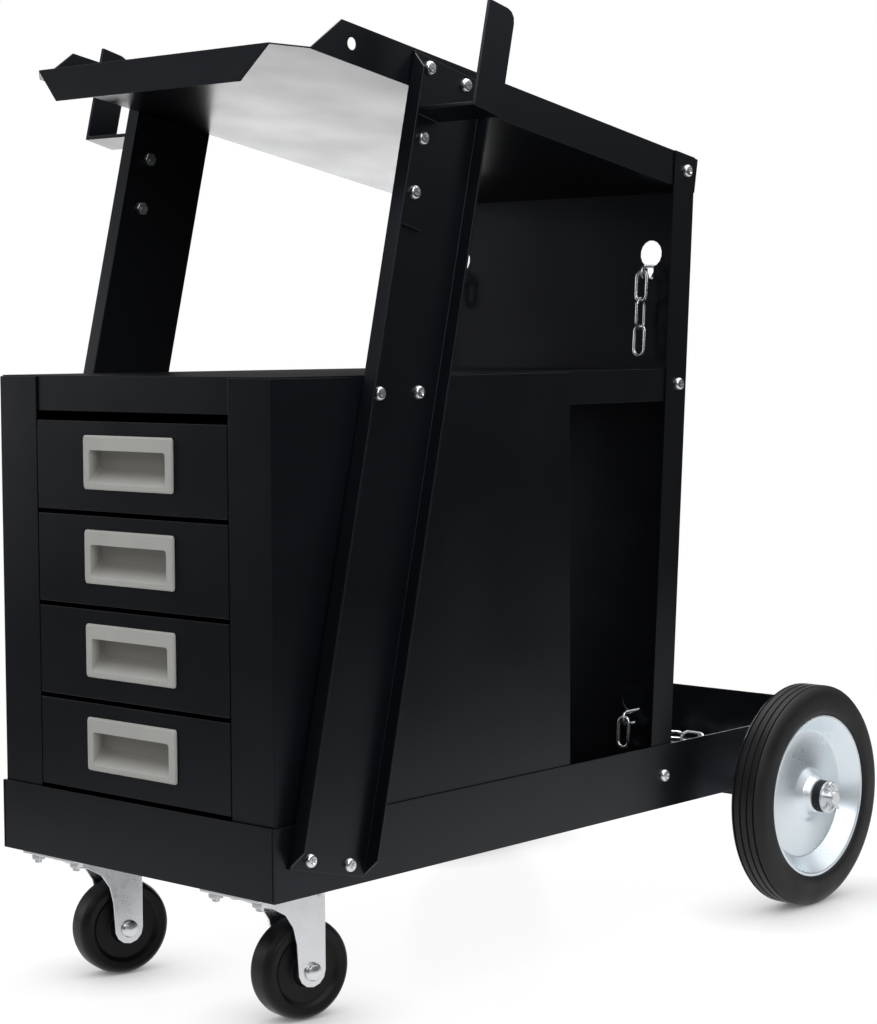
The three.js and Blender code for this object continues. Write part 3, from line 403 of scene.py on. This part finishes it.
# Screws and nuts
# Pan-head machine screws with a cross recess, and a hex nut on the inner face of each.
# Bright zinc plate over steel: near-white metal with a faint blue cast and soft grain.
STAIN_MM = 9
TUMBLE_MM = 2.5
bright_zinc = bpy.data.materials.new("bright_zinc")
tree = new_tree(bright_zinc)
place = add_node(tree, "ShaderNodeTexCoord")
stain = add_node(tree, "ShaderNodeTexNoise", {
    "Vector": place.outputs["Object"], "Scale": 1000 / STAIN_MM, "Detail": 3.0})
silver = add_node(tree, "ShaderNodeMixRGB", {
    "Fac": stain.outputs["Fac"], "Color1": linear("#dcdfe3"), "Color2": linear("#ebecee")})
polish = add_node(tree, "ShaderNodeMapRange", {
    "Value": stain.outputs["Fac"], "From Min": 0.3, "From Max": 0.7, "To Min": 0.24, "To Max": 0.32})
tumble = add_node(tree, "ShaderNodeTexNoise", {
    "Vector": place.outputs["Object"], "Scale": 1000 / TUMBLE_MM})
dents = add_node(tree, "ShaderNodeBump", {
    "Height": tumble.outputs["Fac"], "Strength": 0.06, "Distance": 0.05 * MM})
plate = add_node(tree, "ShaderNodeBsdfPrincipled", {
    "Base Color": silver.outputs["Color"], "Metallic": 1.0, "Roughness": polish.outputs["Result"],
    "Normal": dents.outputs[0]})
add_node(tree, "ShaderNodeOutputMaterial", {"Surface": plate.outputs[0]})

SCREW_R = 3
HEAD_R = 5.4
HEAD_HEIGHT = 3.4
SCREW_LENGTH = 11
SCREW_POINT = 0.6
DOME_TOP = 0.62  # the flat top's share of the head's radius
RECESS_HALF = 2.5
RECESS_WIDTH = 0.9
RECESS_DEPTH = 1.7
RECESS_FOOT = 0.55  # the recess's size at its foot against its mouth
NUT_ACROSS = 10
NUT_HEIGHT = 4.8
FUSE_MM = 0.002  # closes the seams and poles of turned and swept shapes


def turned(profile, steps, ring=False):
    """A shape turned about the X axis from points of (x, radius) in mm."""
    shape = bmesh.new()
    line = [shape.verts.new((x * MM, 0, r * MM)) for x, r in profile]
    edges = [shape.edges.new(pair) for pair in zip(line, line[1:])]
    if ring:
        edges.append(shape.edges.new((line[-1], line[0])))
    bmesh.ops.spin(
        shape, geom=line + edges, cent=(0, 0, 0), axis=(1, 0, 0), angle=2 * math.pi, steps=steps,
        use_merge=True, use_duplicate=False)
    bmesh.ops.remove_doubles(shape, verts=shape.verts, dist=FUSE_MM * MM)
    bmesh.ops.recalc_face_normals(shape, faces=shape.faces)
    return shape


def as_mesh(shape):
    """A shape kept as mesh data, to be set in several places."""
    mesh = bpy.data.meshes.new("pattern")
    shape.to_mesh(mesh)
    shape.free()
    return mesh


def gathered(pattern_places):
    """One shape made of mesh patterns, each at its place."""
    whole = bmesh.new()
    for pattern, matrix in pattern_places:
        copy = pattern.copy()
        copy.transform(matrix)
        whole.from_mesh(copy)
        bpy.data.meshes.remove(copy)
    return whole


def cross_head_screw():
    """Domed head, its cross recess sunk from the flat top, and the shank; the seat is at X 0."""
    dome = [(HEAD_HEIGHT * math.sin(a), HEAD_R * (DOME_TOP + (1 - DOME_TOP) * math.cos(a)))
            for a in (step / 6 * math.pi / 2 for step in range(7))]
    shank = [(-SCREW_LENGTH, 0), (-SCREW_LENGTH, SCREW_R - SCREW_POINT),
             (-SCREW_LENGTH + SCREW_POINT, SCREW_R), (0, SCREW_R)]
    shape = turned(shank + [(0, HEAD_R)] + dome[1:], 24)
    rim = [e for e in shape.edges if e.is_boundary]
    quarter = [(RECESS_HALF, -RECESS_WIDTH), (RECESS_HALF, RECESS_WIDTH), (RECESS_WIDTH, RECESS_WIDTH)]
    corners = []
    for step in range(4):
        spun = Matrix.Rotation(step * math.pi / 2, 2)
        corners += [spun @ Vector(point) for point in quarter]
    loop = [shape.verts.new((HEAD_HEIGHT * MM, p.x * MM, p.y * MM)) for p in corners]
    cross = [shape.edges.new((loop[i - 1], loop[i])) for i in range(len(loop))]
    bmesh.ops.bridge_loops(shape, edges=rim + cross)
    sunk = bmesh.ops.extrude_edge_only(shape, edges=cross)["geom"]
    foot = [v for v in sunk if isinstance(v, bmesh.types.BMVert)]
    bmesh.ops.translate(shape, verts=foot, vec=(-RECESS_DEPTH * MM, 0, 0))
    bmesh.ops.scale(shape, verts=foot, vec=(1, RECESS_FOOT, RECESS_FOOT))
    bmesh.ops.holes_fill(shape, edges=[e for e in shape.edges if e.is_boundary], sides=0)
    bmesh.ops.recalc_face_normals(shape, faces=shape.faces)
    return shape


def hex_nut():
    """A chamfered hex nut about the X axis, seated at X 0 and standing towards -X."""
    shape = bmesh.new()
    corner = NUT_ACROSS / math.sqrt(3) * MM
    bmesh.ops.create_cone(
        shape, cap_ends=True, segments=6, radius1=corner, radius2=corner, depth=NUT_HEIGHT * MM,
        matrix=Matrix.Translation((-NUT_HEIGHT / 2 * MM, 0, 0)) @ Matrix.Rotation(math.pi / 2, 4, "Y"))
    return rounded(shape, 0.5, segments=2)


screw_mesh = as_mesh(cross_head_screw())
nut_mesh = as_mesh(hex_nut())
NUT_SEATS = {"post_foot": 149.4, "panel_foot": 149.4, "hook": 149.7, "panel_top": 147.9,
             "panel_shelf": 147.9, "post_shelf": 147.9, "post_top": 147.9}
TWIST_BY_Z = 73  # leaves each screw turned its own way, in radians per metre
TWIST_BY_Y = 21
screw_nodes = sorted(name for name in nodes if "_screw_" in name)
screw_places = []
for node in screw_nodes:
    side, place_name = node.split("_screw_")
    low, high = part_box(node)
    middle = (low + high) / 2
    out = sides[side]
    facing = Matrix.Rotation(0 if out > 0 else math.pi, 4, "Z")
    twist = Matrix.Rotation(TWIST_BY_Z * middle.z + TWIST_BY_Y * middle.y, 4, "X")
    head_top = high.x if out > 0 else -low.x
    seat = Vector((out * (head_top - HEAD_HEIGHT * MM), middle.y, middle.z))
    screw_places.append((screw_mesh, Matrix.Translation(seat) @ facing @ twist))
    nut_x = next(x for start, x in NUT_SEATS.items() if place_name.startswith(start))
    nut_spot = Vector((out * nut_x * MM, middle.y, middle.z))
    screw_places.append((nut_mesh, Matrix.Translation(nut_spot) @ facing @ twist))
shown("frame_screws", gathered(screw_places), bright_zinc, "zinc_plate", "frame", *screw_nodes)

# Rear axle
# A plain zinc rod in a folded channel under the base; a washer and a split pin hold each wheel on.
AXLE_R = 6
AXLE_CHAMFER = 0.8
WASHER_R = 14.5
WASHER = 1.6
PIN_WIRE_R = 1.1
PIN_EYE_R = 3.4
PIN_INSET = 3.6
PIN_TILT_DEG = 14
WASHER_GAP = 0.3
axle_low, axle_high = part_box("rear_axle")
axle_half = axle_high.x / MM
axle_place = Matrix.Translation((0, (axle_low.y + axle_high.y) / 2, (axle_low.z + axle_high.z) / 2))


def bent_wire(points, radius, closed=False):
    """Round wire along points in mm, as mesh data."""
    curve = bpy.data.curves.new("wire", "CURVE")
    curve.dimensions = "3D"
    curve.bevel_depth = radius * MM
    curve.bevel_resolution = 3
    curve.use_fill_caps = True
    line = curve.splines.new("POLY")
    line.points.add(len(points) - 1)
    for point, place in zip(line.points, points):
        point.co = (place[0] * MM, place[1] * MM, place[2] * MM, 1)
    line.use_cyclic_u = closed
    holder = bpy.data.objects.new("wire", curve)
    bpy.context.scene.collection.objects.link(holder)
    swept = bpy.data.meshes.new_from_object(holder.evaluated_get(bpy.context.evaluated_depsgraph_get()))
    bpy.data.objects.remove(holder)
    bpy.data.curves.remove(curve)
    shape = bmesh.new()
    shape.from_mesh(swept)
    bpy.data.meshes.remove(swept)
    bmesh.ops.remove_doubles(shape, verts=shape.verts, dist=FUSE_MM * MM)
    return as_mesh(shape)


axle_straight = axle_half - AXLE_CHAMFER
axle_rod = as_mesh(turned([
    (-axle_half, 0), (-axle_half, AXLE_R - AXLE_CHAMFER), (-axle_straight, AXLE_R),
    (axle_straight, AXLE_R), (axle_half, AXLE_R - AXLE_CHAMFER), (axle_half, 0)], 32))
HUB_OUT = 23.5
hub_end = joints["right_wheel_roll"]["pos_m"][0] / MM + HUB_OUT
washer = as_mesh(rounded(turned([(0, AXLE_R), (0, WASHER_R), (WASHER, WASHER_R), (WASHER, AXLE_R)],
                                32, ring=True), 0.3, segments=2))
eye = [(0, PIN_EYE_R * math.cos(a), AXLE_R + PIN_EYE_R + 1 + PIN_EYE_R * math.sin(a))
       for a in (math.radians(-60 + step * 30) for step in range(11))]
pin = bent_wire([(0, 6, -AXLE_R - 7), (0, 1.6, -AXLE_R - 2), (0, 1.1, AXLE_R + 1)] + eye
                + [(0, -1.1, AXLE_R + 1), (0, -1.6, -AXLE_R - 2), (0, -8, -AXLE_R - 3)], PIN_WIRE_R)
axle_places = [(axle_rod, axle_place)]
for out in sides.values():
    facing = axle_place @ Matrix.Rotation(0 if out > 0 else math.pi, 4, "Z")
    axle_places.append((washer, facing @ Matrix.Translation(((hub_end + WASHER_GAP) * MM, 0, 0))))
    axle_places.append((pin, facing @ Matrix.Translation(((axle_half - PIN_INSET) * MM, 0, 0))
                        @ Matrix.Rotation(math.radians(PIN_TILT_DEG), 4, "X")))
shown("axle_rod_and_pins", gathered(axle_places), bright_zinc, "zinc_plate", "frame", "rear_axle")
shown("axle_channel", eased("axle_clamp", 0.7),
      black_powder_coat, "black_paint", "frame", "axle_clamp")

# Rear wheels
# A pressed rim, zinc plated, welded on a hub tube; its cool blue passivation film scatters some light.
# The solid rubber tyre has ribs on its tread and a plain satin wall; a rubber seal rings the hub.
PASSIVATION_MM = 40
PRESS_MM = 5
blue_zinc = bpy.data.materials.new("blue_zinc")
tree = new_tree(blue_zinc)
place = add_node(tree, "ShaderNodeTexCoord")
haze = add_node(tree, "ShaderNodeTexNoise", {
    "Vector": place.outputs["Object"], "Scale": 1000 / PASSIVATION_MM, "Detail": 4.0})
cool = add_node(tree, "ShaderNodeMixRGB", {
    "Fac": haze.outputs["Fac"], "Color1": linear("#d2dee7"), "Color2": linear("#eff5f8")})
satin = add_node(tree, "ShaderNodeMapRange", {
    "Value": haze.outputs["Fac"], "From Min": 0.3, "From Max": 0.7, "To Min": 0.25, "To Max": 0.36})
orange = add_node(tree, "ShaderNodeTexNoise", {"Vector": place.outputs["Object"], "Scale": 1000 / PRESS_MM})
press = add_node(tree, "ShaderNodeBump", {
    "Height": orange.outputs["Fac"], "Strength": 0.06, "Distance": 0.2 * MM})
rim_metal = add_node(tree, "ShaderNodeBsdfPrincipled", {
    "Base Color": cool.outputs["Color"], "Metallic": 0.75, "Roughness": satin.outputs["Result"],
    "Normal": press.outputs[0]})
add_node(tree, "ShaderNodeOutputMaterial", {"Surface": rim_metal.outputs[0]})

BLOOM_MM = 30
PORE_MM = 0.9
black_tyre_rubber = bpy.data.materials.new("black_tyre_rubber")
tree = new_tree(black_tyre_rubber)
place = add_node(tree, "ShaderNodeTexCoord")
bloom = add_node(tree, "ShaderNodeTexNoise", {
    "Vector": place.outputs["Object"], "Scale": 1000 / BLOOM_MM, "Detail": 5.0})
rubber_black = add_node(tree, "ShaderNodeMixRGB", {
    "Fac": bloom.outputs["Fac"], "Color1": linear("#0c0c0f"), "Color2": linear("#141417")})
worn = add_node(tree, "ShaderNodeMapRange", {
    "Value": bloom.outputs["Fac"], "From Min": 0.3, "From Max": 0.7, "To Min": 0.46, "To Max": 0.62})
pores = add_node(tree, "ShaderNodeTexNoise", {"Vector": place.outputs["Object"], "Scale": 1000 / PORE_MM})
skin = add_node(tree, "ShaderNodeBump", {
    "Height": pores.outputs["Fac"], "Strength": 0.2, "Distance": 0.1 * MM})
rubber = add_node(tree, "ShaderNodeBsdfPrincipled", {
    "Base Color": rubber_black.outputs["Color"], "Roughness": worn.outputs["Result"], "IOR": 1.52,
    "Specular IOR Level": 0.35, "Normal": skin.outputs[0]})
add_node(tree, "ShaderNodeOutputMaterial", {"Surface": rubber.outputs[0]})

WHEEL_R = 98
TYRE_HALF = 17
RIM_R = 72
RIM_HALF = 14.5
WELL_R = 68
WELL_HALF = 6.5
HUB_R = 11
HUB_IN = 26
BORE = AXLE_R + 0.3
SEAL_R = 14
SEAL_IN = HUB_OUT - 8
SEAL_OUT = HUB_OUT - 0.3
SEAL_BORE = HUB_R + 1.2
rim_profile = [
    (-HUB_IN, BORE), (HUB_OUT, BORE), (HUB_OUT, HUB_R), (SEAL_IN, HUB_R + 1), (SEAL_IN - 1, HUB_R + 4),
    (9, HUB_R + 7), (4, HUB_R + 13), (0.6, HUB_R + 22), (-1, RIM_R - 24), (-0.8, RIM_R - 15.6),
    (RIM_HALF - 4.6, RIM_R - 7), (RIM_HALF, RIM_R - 3), (RIM_HALF, RIM_R), (WELL_HALF, WELL_R),
    (-WELL_HALF, WELL_R), (-RIM_HALF, RIM_R), (-RIM_HALF, RIM_R - 3), (-WELL_HALF, WELL_R - 3),
    (0.5, WELL_R - 4), (-4, RIM_R - 22), (-4, HUB_R + 15), (-3, HUB_R + 3), (-HUB_IN, HUB_R)]
tread = []
for centre in (-10, -3.4, 3.4, 10):
    tread += [(centre - 0.9, WHEEL_R - 0.2), (centre - 0.4, WHEEL_R - 2.2), (centre + 0.4, WHEEL_R - 2.2),
              (centre + 0.9, WHEEL_R - 0.2)]
tyre_profile = [
    (-RIM_HALF - 0.4, RIM_R + 0.4), (-WELL_HALF, WELL_R + 0.4), (WELL_HALF, WELL_R + 0.4),
    (RIM_HALF + 0.4, RIM_R + 0.4), (TYRE_HALF - 0.8, RIM_R + 2.4), (TYRE_HALF, RIM_R + 6),
    (TYRE_HALF, WHEEL_R - 10), (TYRE_HALF - 1.8, WHEEL_R - 5), (TYRE_HALF - 4, WHEEL_R - 2)]
tyre_profile += tread[::-1] + [
    (-TYRE_HALF + 4, WHEEL_R - 2), (-TYRE_HALF + 1.8, WHEEL_R - 5), (-TYRE_HALF, WHEEL_R - 10),
    (-TYRE_HALF, RIM_R + 6), (-TYRE_HALF + 0.8, RIM_R + 2.4)]
seal_profile = [(SEAL_IN, SEAL_BORE), (SEAL_OUT, SEAL_BORE), (SEAL_OUT, SEAL_R), (SEAL_IN, SEAL_R)]
for side, out in sides.items():
    hub = Matrix.Translation(joints[f"{side}_wheel_roll"]["pos_m"])
    facing = hub @ Matrix.Rotation(0 if out > 0 else math.pi, 4, "Z")
    rim = rounded(turned(rim_profile, 96, ring=True), 0.9, limit=18)
    bmesh.ops.transform(rim, matrix=facing, verts=rim.verts)
    shown(f"{side}_rim", rim, blue_zinc, "zinc_rim", f"{side}_rear_wheel", f"{side}_wheel_rim")
    tyre = as_mesh(rounded(turned(tyre_profile, 96, ring=True), 0.3, segments=2, limit=30))
    seal = as_mesh(rounded(turned(seal_profile, 48, ring=True), 0.4))
    shown(f"{side}_tyre", gathered([(tyre, facing), (seal, facing)]), black_tyre_rubber, "tyre_rubber",
          f"{side}_rear_wheel", f"{side}_wheel_tyre")

# Swivel casters
# Pressed zinc plate and fork with a riveted kingpin, an axle bolt, and a hard moulded wheel.
# Four short bolts come down through the base and each plate, with nuts below.
SMEAR_MM = 18
GRIT_MM = 1.1
black_polyolefin = bpy.data.materials.new("black_polyolefin")
tree = new_tree(black_polyolefin)
place = add_node(tree, "ShaderNodeTexCoord")
smear = add_node(tree, "ShaderNodeTexNoise", {
    "Vector": place.outputs["Object"], "Scale": 1000 / SMEAR_MM, "Detail": 4.0})
hard_black = add_node(tree, "ShaderNodeMixRGB", {
    "Fac": smear.outputs["Fac"], "Color1": linear("#08080a"), "Color2": linear("#0f0f12")})
buffed = add_node(tree, "ShaderNodeMapRange", {
    "Value": smear.outputs["Fac"], "From Min": 0.3, "From Max": 0.7, "To Min": 0.36, "To Max": 0.5})
grit = add_node(tree, "ShaderNodeTexNoise", {"Vector": place.outputs["Object"], "Scale": 1000 / GRIT_MM})
scratch = add_node(tree, "ShaderNodeBump", {
    "Height": grit.outputs["Fac"], "Strength": 0.15, "Distance": 0.08 * MM})
hard_wheel = add_node(tree, "ShaderNodeBsdfPrincipled", {
    "Base Color": hard_black.outputs["Color"], "Roughness": buffed.outputs["Result"],
    "Specular IOR Level": 0.22, "Normal": scratch.outputs[0]})
add_node(tree, "ShaderNodeOutputMaterial", {"Surface": hard_wheel.outputs[0]})

CASTER_R = 38
CASTER_HALF = 13
CASTER_BORE = 4.3
FORK_HALF = 17.5
BOLT_R = 4
STUD_SPACING = (46, 62)
STUD_DROP = 10.5
STUD_R = 3
STUD_POINT = 0.6
STUD_NUT_DROP = 2.7
BOLT_NUT_SCALE = 1.2
caster_profile = [
    (-CASTER_HALF - 1, CASTER_BORE), (CASTER_HALF + 1, CASTER_BORE), (CASTER_HALF + 1, 11),
    (CASTER_HALF - 4, 13), (CASTER_HALF - 4, 25), (CASTER_HALF - 1, 28), (CASTER_HALF, 33.5),
    (CASTER_HALF - 1.4, 35.6), (CASTER_HALF - 3.6, CASTER_R - 0.9), (CASTER_HALF - 7, CASTER_R),
    (-CASTER_HALF + 7, CASTER_R), (-CASTER_HALF + 3.6, CASTER_R - 0.9), (-CASTER_HALF + 1.4, 35.6),
    (-CASTER_HALF, 33.5), (-CASTER_HALF + 1, 28), (-CASTER_HALF + 4, 25), (-CASTER_HALF + 4, 13),
    (-CASTER_HALF - 1, 11)]
bolt_profile = [
    (-FORK_HALF - 8, 0), (-FORK_HALF - 8, BOLT_R - 0.7), (-FORK_HALF - 7.3, BOLT_R),
    (FORK_HALF + 0.3, BOLT_R), (FORK_HALF + 0.3, 7), (FORK_HALF + 1.6, 7), (FORK_HALF + 3.6, 5.6),
    (FORK_HALF + 4.7, 3), (FORK_HALF + 5, 0)]
stud_mesh = as_mesh(turned([(-STUD_DROP, 0), (-STUD_DROP, STUD_R - STUD_POINT),
                            (-STUD_DROP + STUD_POINT, STUD_R), (0, STUD_R), (0, 0)], 16))
for side, out in sides.items():
    joint = joints[f"{side}_caster_roll"]
    roll_axis = Vector(joint["axis"])
    hub = Matrix.Translation(joint["pos_m"]) @ roll_axis.to_track_quat("X", "Z").to_matrix().to_4x4()
    wheel = rounded(turned(caster_profile, 64, ring=True), 0.7, limit=20)
    bmesh.ops.transform(wheel, matrix=hub, verts=wheel.verts)
    shown(f"{side}_caster_tread", wheel, black_polyolefin, "caster_rubber", f"{side}_caster_roller",
          f"{side}_caster_wheel")
    shown(f"{side}_caster_yoke", eased(f"{side}_caster_fork", 0.7), bright_zinc, "zinc_plate",
          f"{side}_caster_swivel", f"{side}_caster_fork")
    bolt = as_mesh(rounded(turned(bolt_profile, 32), 0.25, segments=2))
    nut_place = hub @ Matrix.Translation(((-FORK_HALF - 0.3) * MM, 0, 0)) @ Matrix.Scale(BOLT_NUT_SCALE, 4)
    shown(f"{side}_caster_bolt", gathered([(bolt, hub), (nut_mesh, nut_place)]), bright_zinc, "zinc_plate",
          f"{side}_caster_swivel", f"{side}_caster_axle")
    plate_low, plate_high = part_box(f"{side}_caster_plate")
    plate_middle = (plate_low + plate_high) / 2
    plate_mesh = as_mesh(eased(f"{side}_caster_plate", 0.5))
    plate_places = [(plate_mesh, Matrix.Identity(4))]
    downward = Matrix.Rotation(-math.pi / 2, 4, "Y")
    for a in (-0.5, 0.5):
        for b in (-0.5, 0.5):
            spot = Vector((plate_middle.x + a * STUD_SPACING[0] * MM,
                           plate_middle.y + b * STUD_SPACING[1] * MM, plate_high.z))
            plate_places.append((stud_mesh, Matrix.Translation(spot) @ downward))
            under = spot - Vector((0, 0, STUD_NUT_DROP * MM))
            plate_places.append((nut_mesh, Matrix.Translation(under) @ downward))
    shown(f"{side}_caster_mount", gathered(plate_places), bright_zinc, "zinc_plate", "frame",
          f"{side}_caster_plate")

# Chains
# Welded links of 3.2 mm zinc plated wire. Each chain is hooked through two keyholes of the rear
# panel: the upper one hangs behind the panel in a bow, the lower one lies in the bottle tray.
LINK_LENGTH = 29
LINK_WIDTH = 14
LINK_WIRE_R = 1.6
LINK_PITCH = 23.4
LINK_HALF = 6.276
PANEL_LEAN = math.radians(3.8)
PANEL_FOOT = Vector((0, 473.8, 105.8))
PANEL_SHEET = 1.2
KEYHOLE_X = 109
KEYHOLE_DROP = 23
UPPER_KEYHOLE_Z = 576.3
LOWER_KEYHOLE_Z = 192.3
UPPER_RUN_LINKS = 25
BASE_FRONT_Y = -383
BASE_Z = 104.3
REST_Z = 111.25
SEAT_GAP = 0.3

bend = LINK_WIDTH / 2 - LINK_WIRE_R
stretch = (LINK_LENGTH - LINK_WIDTH) / 2
half_turn = [math.pi * (step / 8 - 0.5) for step in range(9)]
oval = [(end * (stretch + bend * math.cos(a)), end * bend * math.sin(a), 0)
        for end in (1, -1) for a in half_turn]
link_mesh = bent_wire(oval, LINK_WIRE_R, closed=True)
lean = Matrix.Rotation(-PANEL_LEAN, 3, "X")


def hooked_end(x, keyhole_z, tail):
    """Link ends from the tail inside the panel, through the keyhole, to the run behind it."""
    along = (keyhole_z - KEYHOLE_DROP + LINK_HALF + SEAT_GAP - PANEL_FOOT.z) / math.cos(PANEL_LEAN)
    inside = PANEL_FOOT + lean @ Vector((x, -PANEL_SHEET / 2, along)) - Vector((0, LINK_PITCH / 2, 0))
    down = lean @ Vector((0, 0, -1))
    ends = [inside + down * (count * LINK_PITCH) for count in range(tail, -1, -1)]
    return ends + [inside + Vector((0, LINK_PITCH, 0))]


def hanging_run(start, end, count):
    """Link ends along a catenary between two points at one height."""
    span = (end - start).length
    length = count * LINK_PITCH
    low, high = 1.0, span * 10
    for _ in range(60):
        middle = (low + high) / 2
        if 2 * middle * math.sinh(span / 2 / middle) > length:
            low = middle
        else:
            high = middle
    ends = []
    for number in range(1, count):
        across = low * math.asinh((number * LINK_PITCH - length / 2) / low)
        drop = low * (math.cosh(span / 2 / low) - math.cosh(across / low))
        ends.append(start.lerp(end, across / span + 0.5) - Vector((0, 0, drop)))
    return ends


def spaced_run(points):
    """Link ends at even steps along a smooth curve through the points."""
    padded = [2 * points[0] - points[1]] + points + [2 * points[-1] - points[-2]]
    dense = []
    for p0, p1, p2, p3 in zip(padded, padded[1:], padded[2:], padded[3:]):
        d0, d1, d2 = (max((b - a).length, 1e-4) ** 0.5 for a, b in ((p0, p1), (p1, p2), (p2, p3)))
        leave = ((p1 - p0) / d0 - (p2 - p0) / (d0 + d1) + (p2 - p1) / d1) * d1
        reach = ((p2 - p1) / d1 - (p3 - p1) / (d1 + d2) + (p3 - p2) / d2) * d1
        dense += interpolate_bezier(p1, p1 + leave / 3, p2 - reach / 3, p2, 40)[:-1]
    dense.append(points[-1])
    walked = [0.0]
    for a, b in zip(dense, dense[1:]):
        walked.append(walked[-1] + (b - a).length)
    count = 2 * math.floor((walked[-1] / LINK_PITCH - 1) / 2) + 1
    ends = []
    for number in range(1, count):
        goal = walked[-1] * number / count
        at = next(i for i, length in enumerate(walked) if length >= goal)
        part = (goal - walked[at - 1]) / (walked[at] - walked[at - 1])
        ends.append(dense[at - 1].lerp(dense[at], part))
    return [Vector((p.x, p.y, max(p.z, REST_Z))) for p in ends]


def chain_of(ends, roll_of):
    """Links between neighbouring ends, each rolled about its own length."""
    places = []
    for number, (start, end) in enumerate(zip(ends, ends[1:])):
        along = (end - start).normalized()
        side = Vector((1, 0, 0)) - along * along.x
        if side.length < 0.2:
            side = Vector((0, 1, 0)) - along * along.y
        side.normalize()
        up = along.cross(side)
        stand = Matrix((along, side, up)).transposed().to_4x4()
        centre = (start + end) / 2 + Vector((0, BASE_FRONT_Y, 0))
        spin = Matrix.Rotation(roll_of(number), 4, "X")
        places.append((link_mesh, Matrix.Translation(centre * MM) @ stand @ spin))
    return gathered(places)


QUARTER = math.pi / 2
upper_right = hooked_end(KEYHOLE_X, UPPER_KEYHOLE_Z, 3)
upper_left = hooked_end(-KEYHOLE_X, UPPER_KEYHOLE_Z, 1)[::-1]
upper_run = hanging_run(upper_right[-1], upper_left[0], UPPER_RUN_LINKS)
shown("upper_chain_links", chain_of(upper_right + upper_run + upper_left, lambda i: (i - 2) * QUARTER),
      bright_zinc, "zinc_plate", "frame", "upper_chain")

lower_right = hooked_end(KEYHOLE_X, LOWER_KEYHOLE_Z, 1)
lower_left = hooked_end(-KEYHOLE_X, LOWER_KEYHOLE_Z, 1)[::-1]
lay = [(107, 500, BASE_Z + 46), (106, 512, BASE_Z + 20), (98, 545, REST_Z), (74, 620, REST_Z),
       (36, 700, REST_Z), (-4, 741, REST_Z), (-46, 738, REST_Z), (-80, 690, REST_Z), (-102, 610, REST_Z),
       (-108, 545, REST_Z), (-108, 512, BASE_Z + 20), (-107, 500, BASE_Z + 46)]
lower_run = spaced_run([lower_right[-1]] + [Vector(point) for point in lay] + [lower_left[0]])
run_links = len(lower_run) + 1
shown("lower_chain_links",
      chain_of(lower_right + lower_run + lower_left,
               lambda i: i * QUARTER + (QUARTER / 2 if 1 < i <= 1 + run_links else 0)),
      bright_zinc, "zinc_plate", "frame", "lower_chain")
